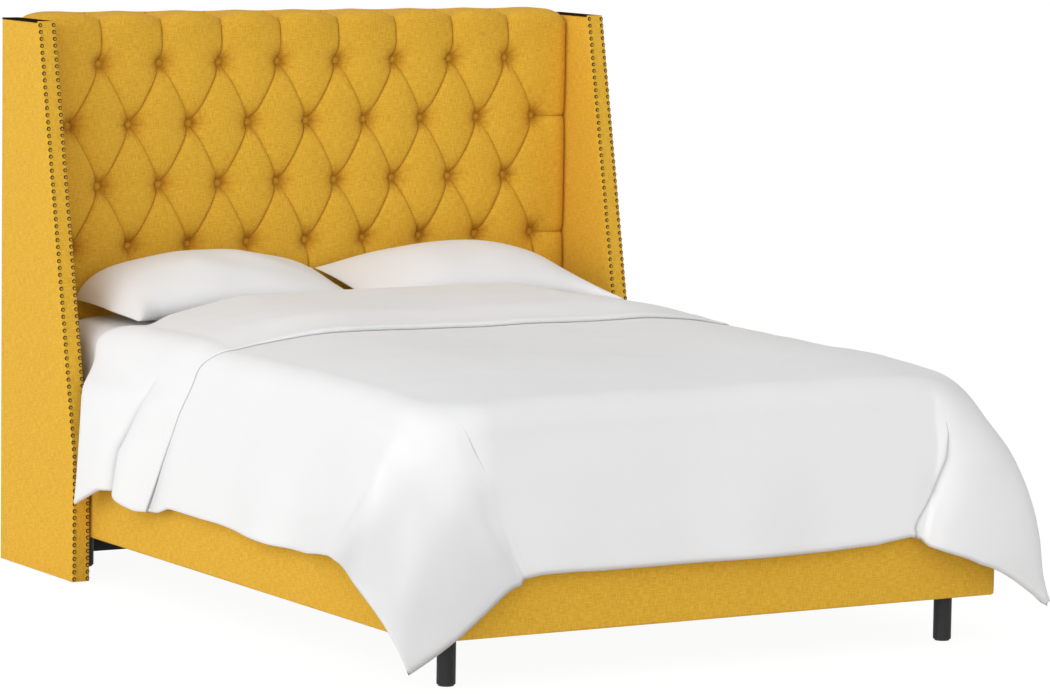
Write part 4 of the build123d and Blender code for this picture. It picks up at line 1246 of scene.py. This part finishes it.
# Stage
def set_floor(reach):
    """Pale floor that the camera sees as nearly white and that still takes soft shadows."""
    brightness, share = 1.07, 0.88
    floor = bpy.data.materials.new("Pale floor")
    floor.use_nodes = True
    wire = Wiring(floor.node_tree)
    base = floor.node_tree.nodes["Principled BSDF"]
    wire.give(base.inputs["Base Color"], grey(0.9))
    wire.give(base.inputs["Roughness"], 0.9)
    glow = wire.add("ShaderNodeEmission", {"Color": grey(1.0), "Strength": brightness})
    path = wire.add("ShaderNodeLightPath").outputs
    seen = wire.times(wire.math("MAXIMUM", path["Is Camera Ray"], path["Is Glossy Ray"]), share)
    blend = wire.add("ShaderNodeMixShader", {0: seen, 1: base.outputs[0], 2: glow.outputs[0]})
    wire.give(floor.node_tree.nodes["Material Output"].inputs["Surface"], blend.outputs[0])
    x, y = np.array([[-reach, reach]]), np.array([[-reach], [reach]])
    ground = build("studio_floor", [(table(x, y, 0.0), x + reach, y + reach, False)])
    ground.data.materials.append(floor)
    ground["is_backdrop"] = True


def set_lights(scene):
    """Soft light from all sides, plain white behind, and a broad key from the camera's left."""
    sky_strength, key_strength, key_spread = 0.66, pi * 0.79, radians(86)
    towards_key = Vector((-0.54, -0.29, 0.085))
    world = bpy.data.worlds.new("Soft studio")
    world.use_nodes = True
    wire = Wiring(world.node_tree)
    light = world.node_tree.nodes["Background"]
    wire.give(light.inputs["Color"], grey(1.0))
    wire.give(light.inputs["Strength"], sky_strength)
    plain = wire.add("ShaderNodeBackground", {"Color": grey(1.0), "Strength": 1.0})
    seen = wire.add("ShaderNodeLightPath").outputs["Is Camera Ray"]
    blend = wire.add("ShaderNodeMixShader", {0: seen, 1: light.outputs[0], 2: plain.outputs[0]})
    wire.give(world.node_tree.nodes["World Output"].inputs["Surface"], blend.outputs[0])
    scene.world = world

    lamp = bpy.data.lights.new("soft_key", "SUN")
    lamp.energy = key_strength
    lamp.angle = key_spread
    holder = bpy.data.objects.new("soft_key", lamp)
    holder.matrix_world = towards_key.to_track_quat("Z", "Y").to_matrix().to_4x4()
    scene.collection.objects.link(holder)


def camera_turn(yaw, pitch, roll):
    """Camera axes from its heading, its tilt down and its roll."""
    ahead = Vector((sin(yaw) * cos(pitch), cos(yaw) * cos(pitch), -sin(pitch)))
    right = Vector((cos(yaw), -sin(yaw), 0))
    up = right.cross(ahead)
    turned_right = right * cos(roll) + up * sin(roll)
    turned_up = up * cos(roll) - right * sin(roll)
    return Matrix((turned_right, turned_up, -ahead)).transposed().to_4x4()


def set_camera(scene):
    """Camera fitted to the photograph.

    Its focal length and its picture's middle are in pixels, its turn is heading, tilt down and roll.
    """
    width, height = 1050, 694
    focal, middle_x, middle_y = 4821.34, 560.2, 309.91
    stand, turn = (-6.04257, -10.34479, 1.99419), (0.54124, 0.10448, 0.01566)
    camera = bpy.data.cameras.new("photo_camera")
    camera.sensor_width = 36.0
    camera.lens = focal / width * camera.sensor_width
    camera.shift_x = (width / 2 - middle_x) / width
    camera.shift_y = (middle_y - height / 2) / width
    camera.clip_end = 100.0
    holder = bpy.data.objects.new("photo_camera", camera)
    holder.matrix_world = Matrix.Translation(stand) @ camera_turn(*turn)
    scene.collection.objects.link(holder)
    scene.camera = holder
    scene.view_settings.view_transform = "Standard"


class BED_OT_stage(bpy.types.Operator):
    """Sets the floor, the lights and the camera"""

    bl_idname = "bed.stage"
    bl_label = "Stage"

    def execute(self, context):
        set_floor(30.0)
        set_lights(context.scene)
        set_camera(context.scene)
        return {"FINISHED"}


class BED_PT_panel(bpy.types.Panel):
    """Lists the bed's pieces in the sidebar"""

    bl_idname = "BED_PT_panel"
    bl_label = "Wingback Bed"
    bl_space_type = "VIEW_3D"
    bl_region_type = "UI"
    bl_category = "Wingback Bed"

    def draw(self, context):
        for group in (context.scene.bed_sizes, context.scene.bed_colours):
            box = self.layout.box()
            for key in group.bl_rna.properties.keys():
                if key not in ("rna_type", "name"):
                    box.prop(group, key)
        for operator in OPERATORS:
            self.layout.operator(operator.bl_idname)


OPERATORS = (
    BED_OT_materials, BED_OT_frame_finishes, BED_OT_headboard_pad, BED_OT_dust_cloth, BED_OT_wings,
    BED_OT_rails, BED_OT_mattress, BED_OT_duvet, BED_OT_pillows, BED_OT_stage)
CLASSES = (BedSizes, BedColours) + OPERATORS + (BED_PT_panel,)


def register():
    for item in CLASSES:
        bpy.utils.register_class(item)
    bpy.types.Scene.bed_sizes = PointerProperty(type=BedSizes)
    bpy.types.Scene.bed_colours = PointerProperty(type=BedColours)


def unregister():
    del bpy.types.Scene.bed_sizes, bpy.types.Scene.bed_colours
    for item in reversed(CLASSES):
        bpy.utils.unregister_class(item)


def main():
    register()
    for operator in OPERATORS:
        group, name = operator.bl_idname.split(".")
        getattr(getattr(bpy.ops, group), name)()
    boxes = {"cad": cad_bounds, "visual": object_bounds()}
    boxes = {label: [list(corner) for corner in corners] for label, corners in boxes.items()}


if __name__ == "__main__":
    main()
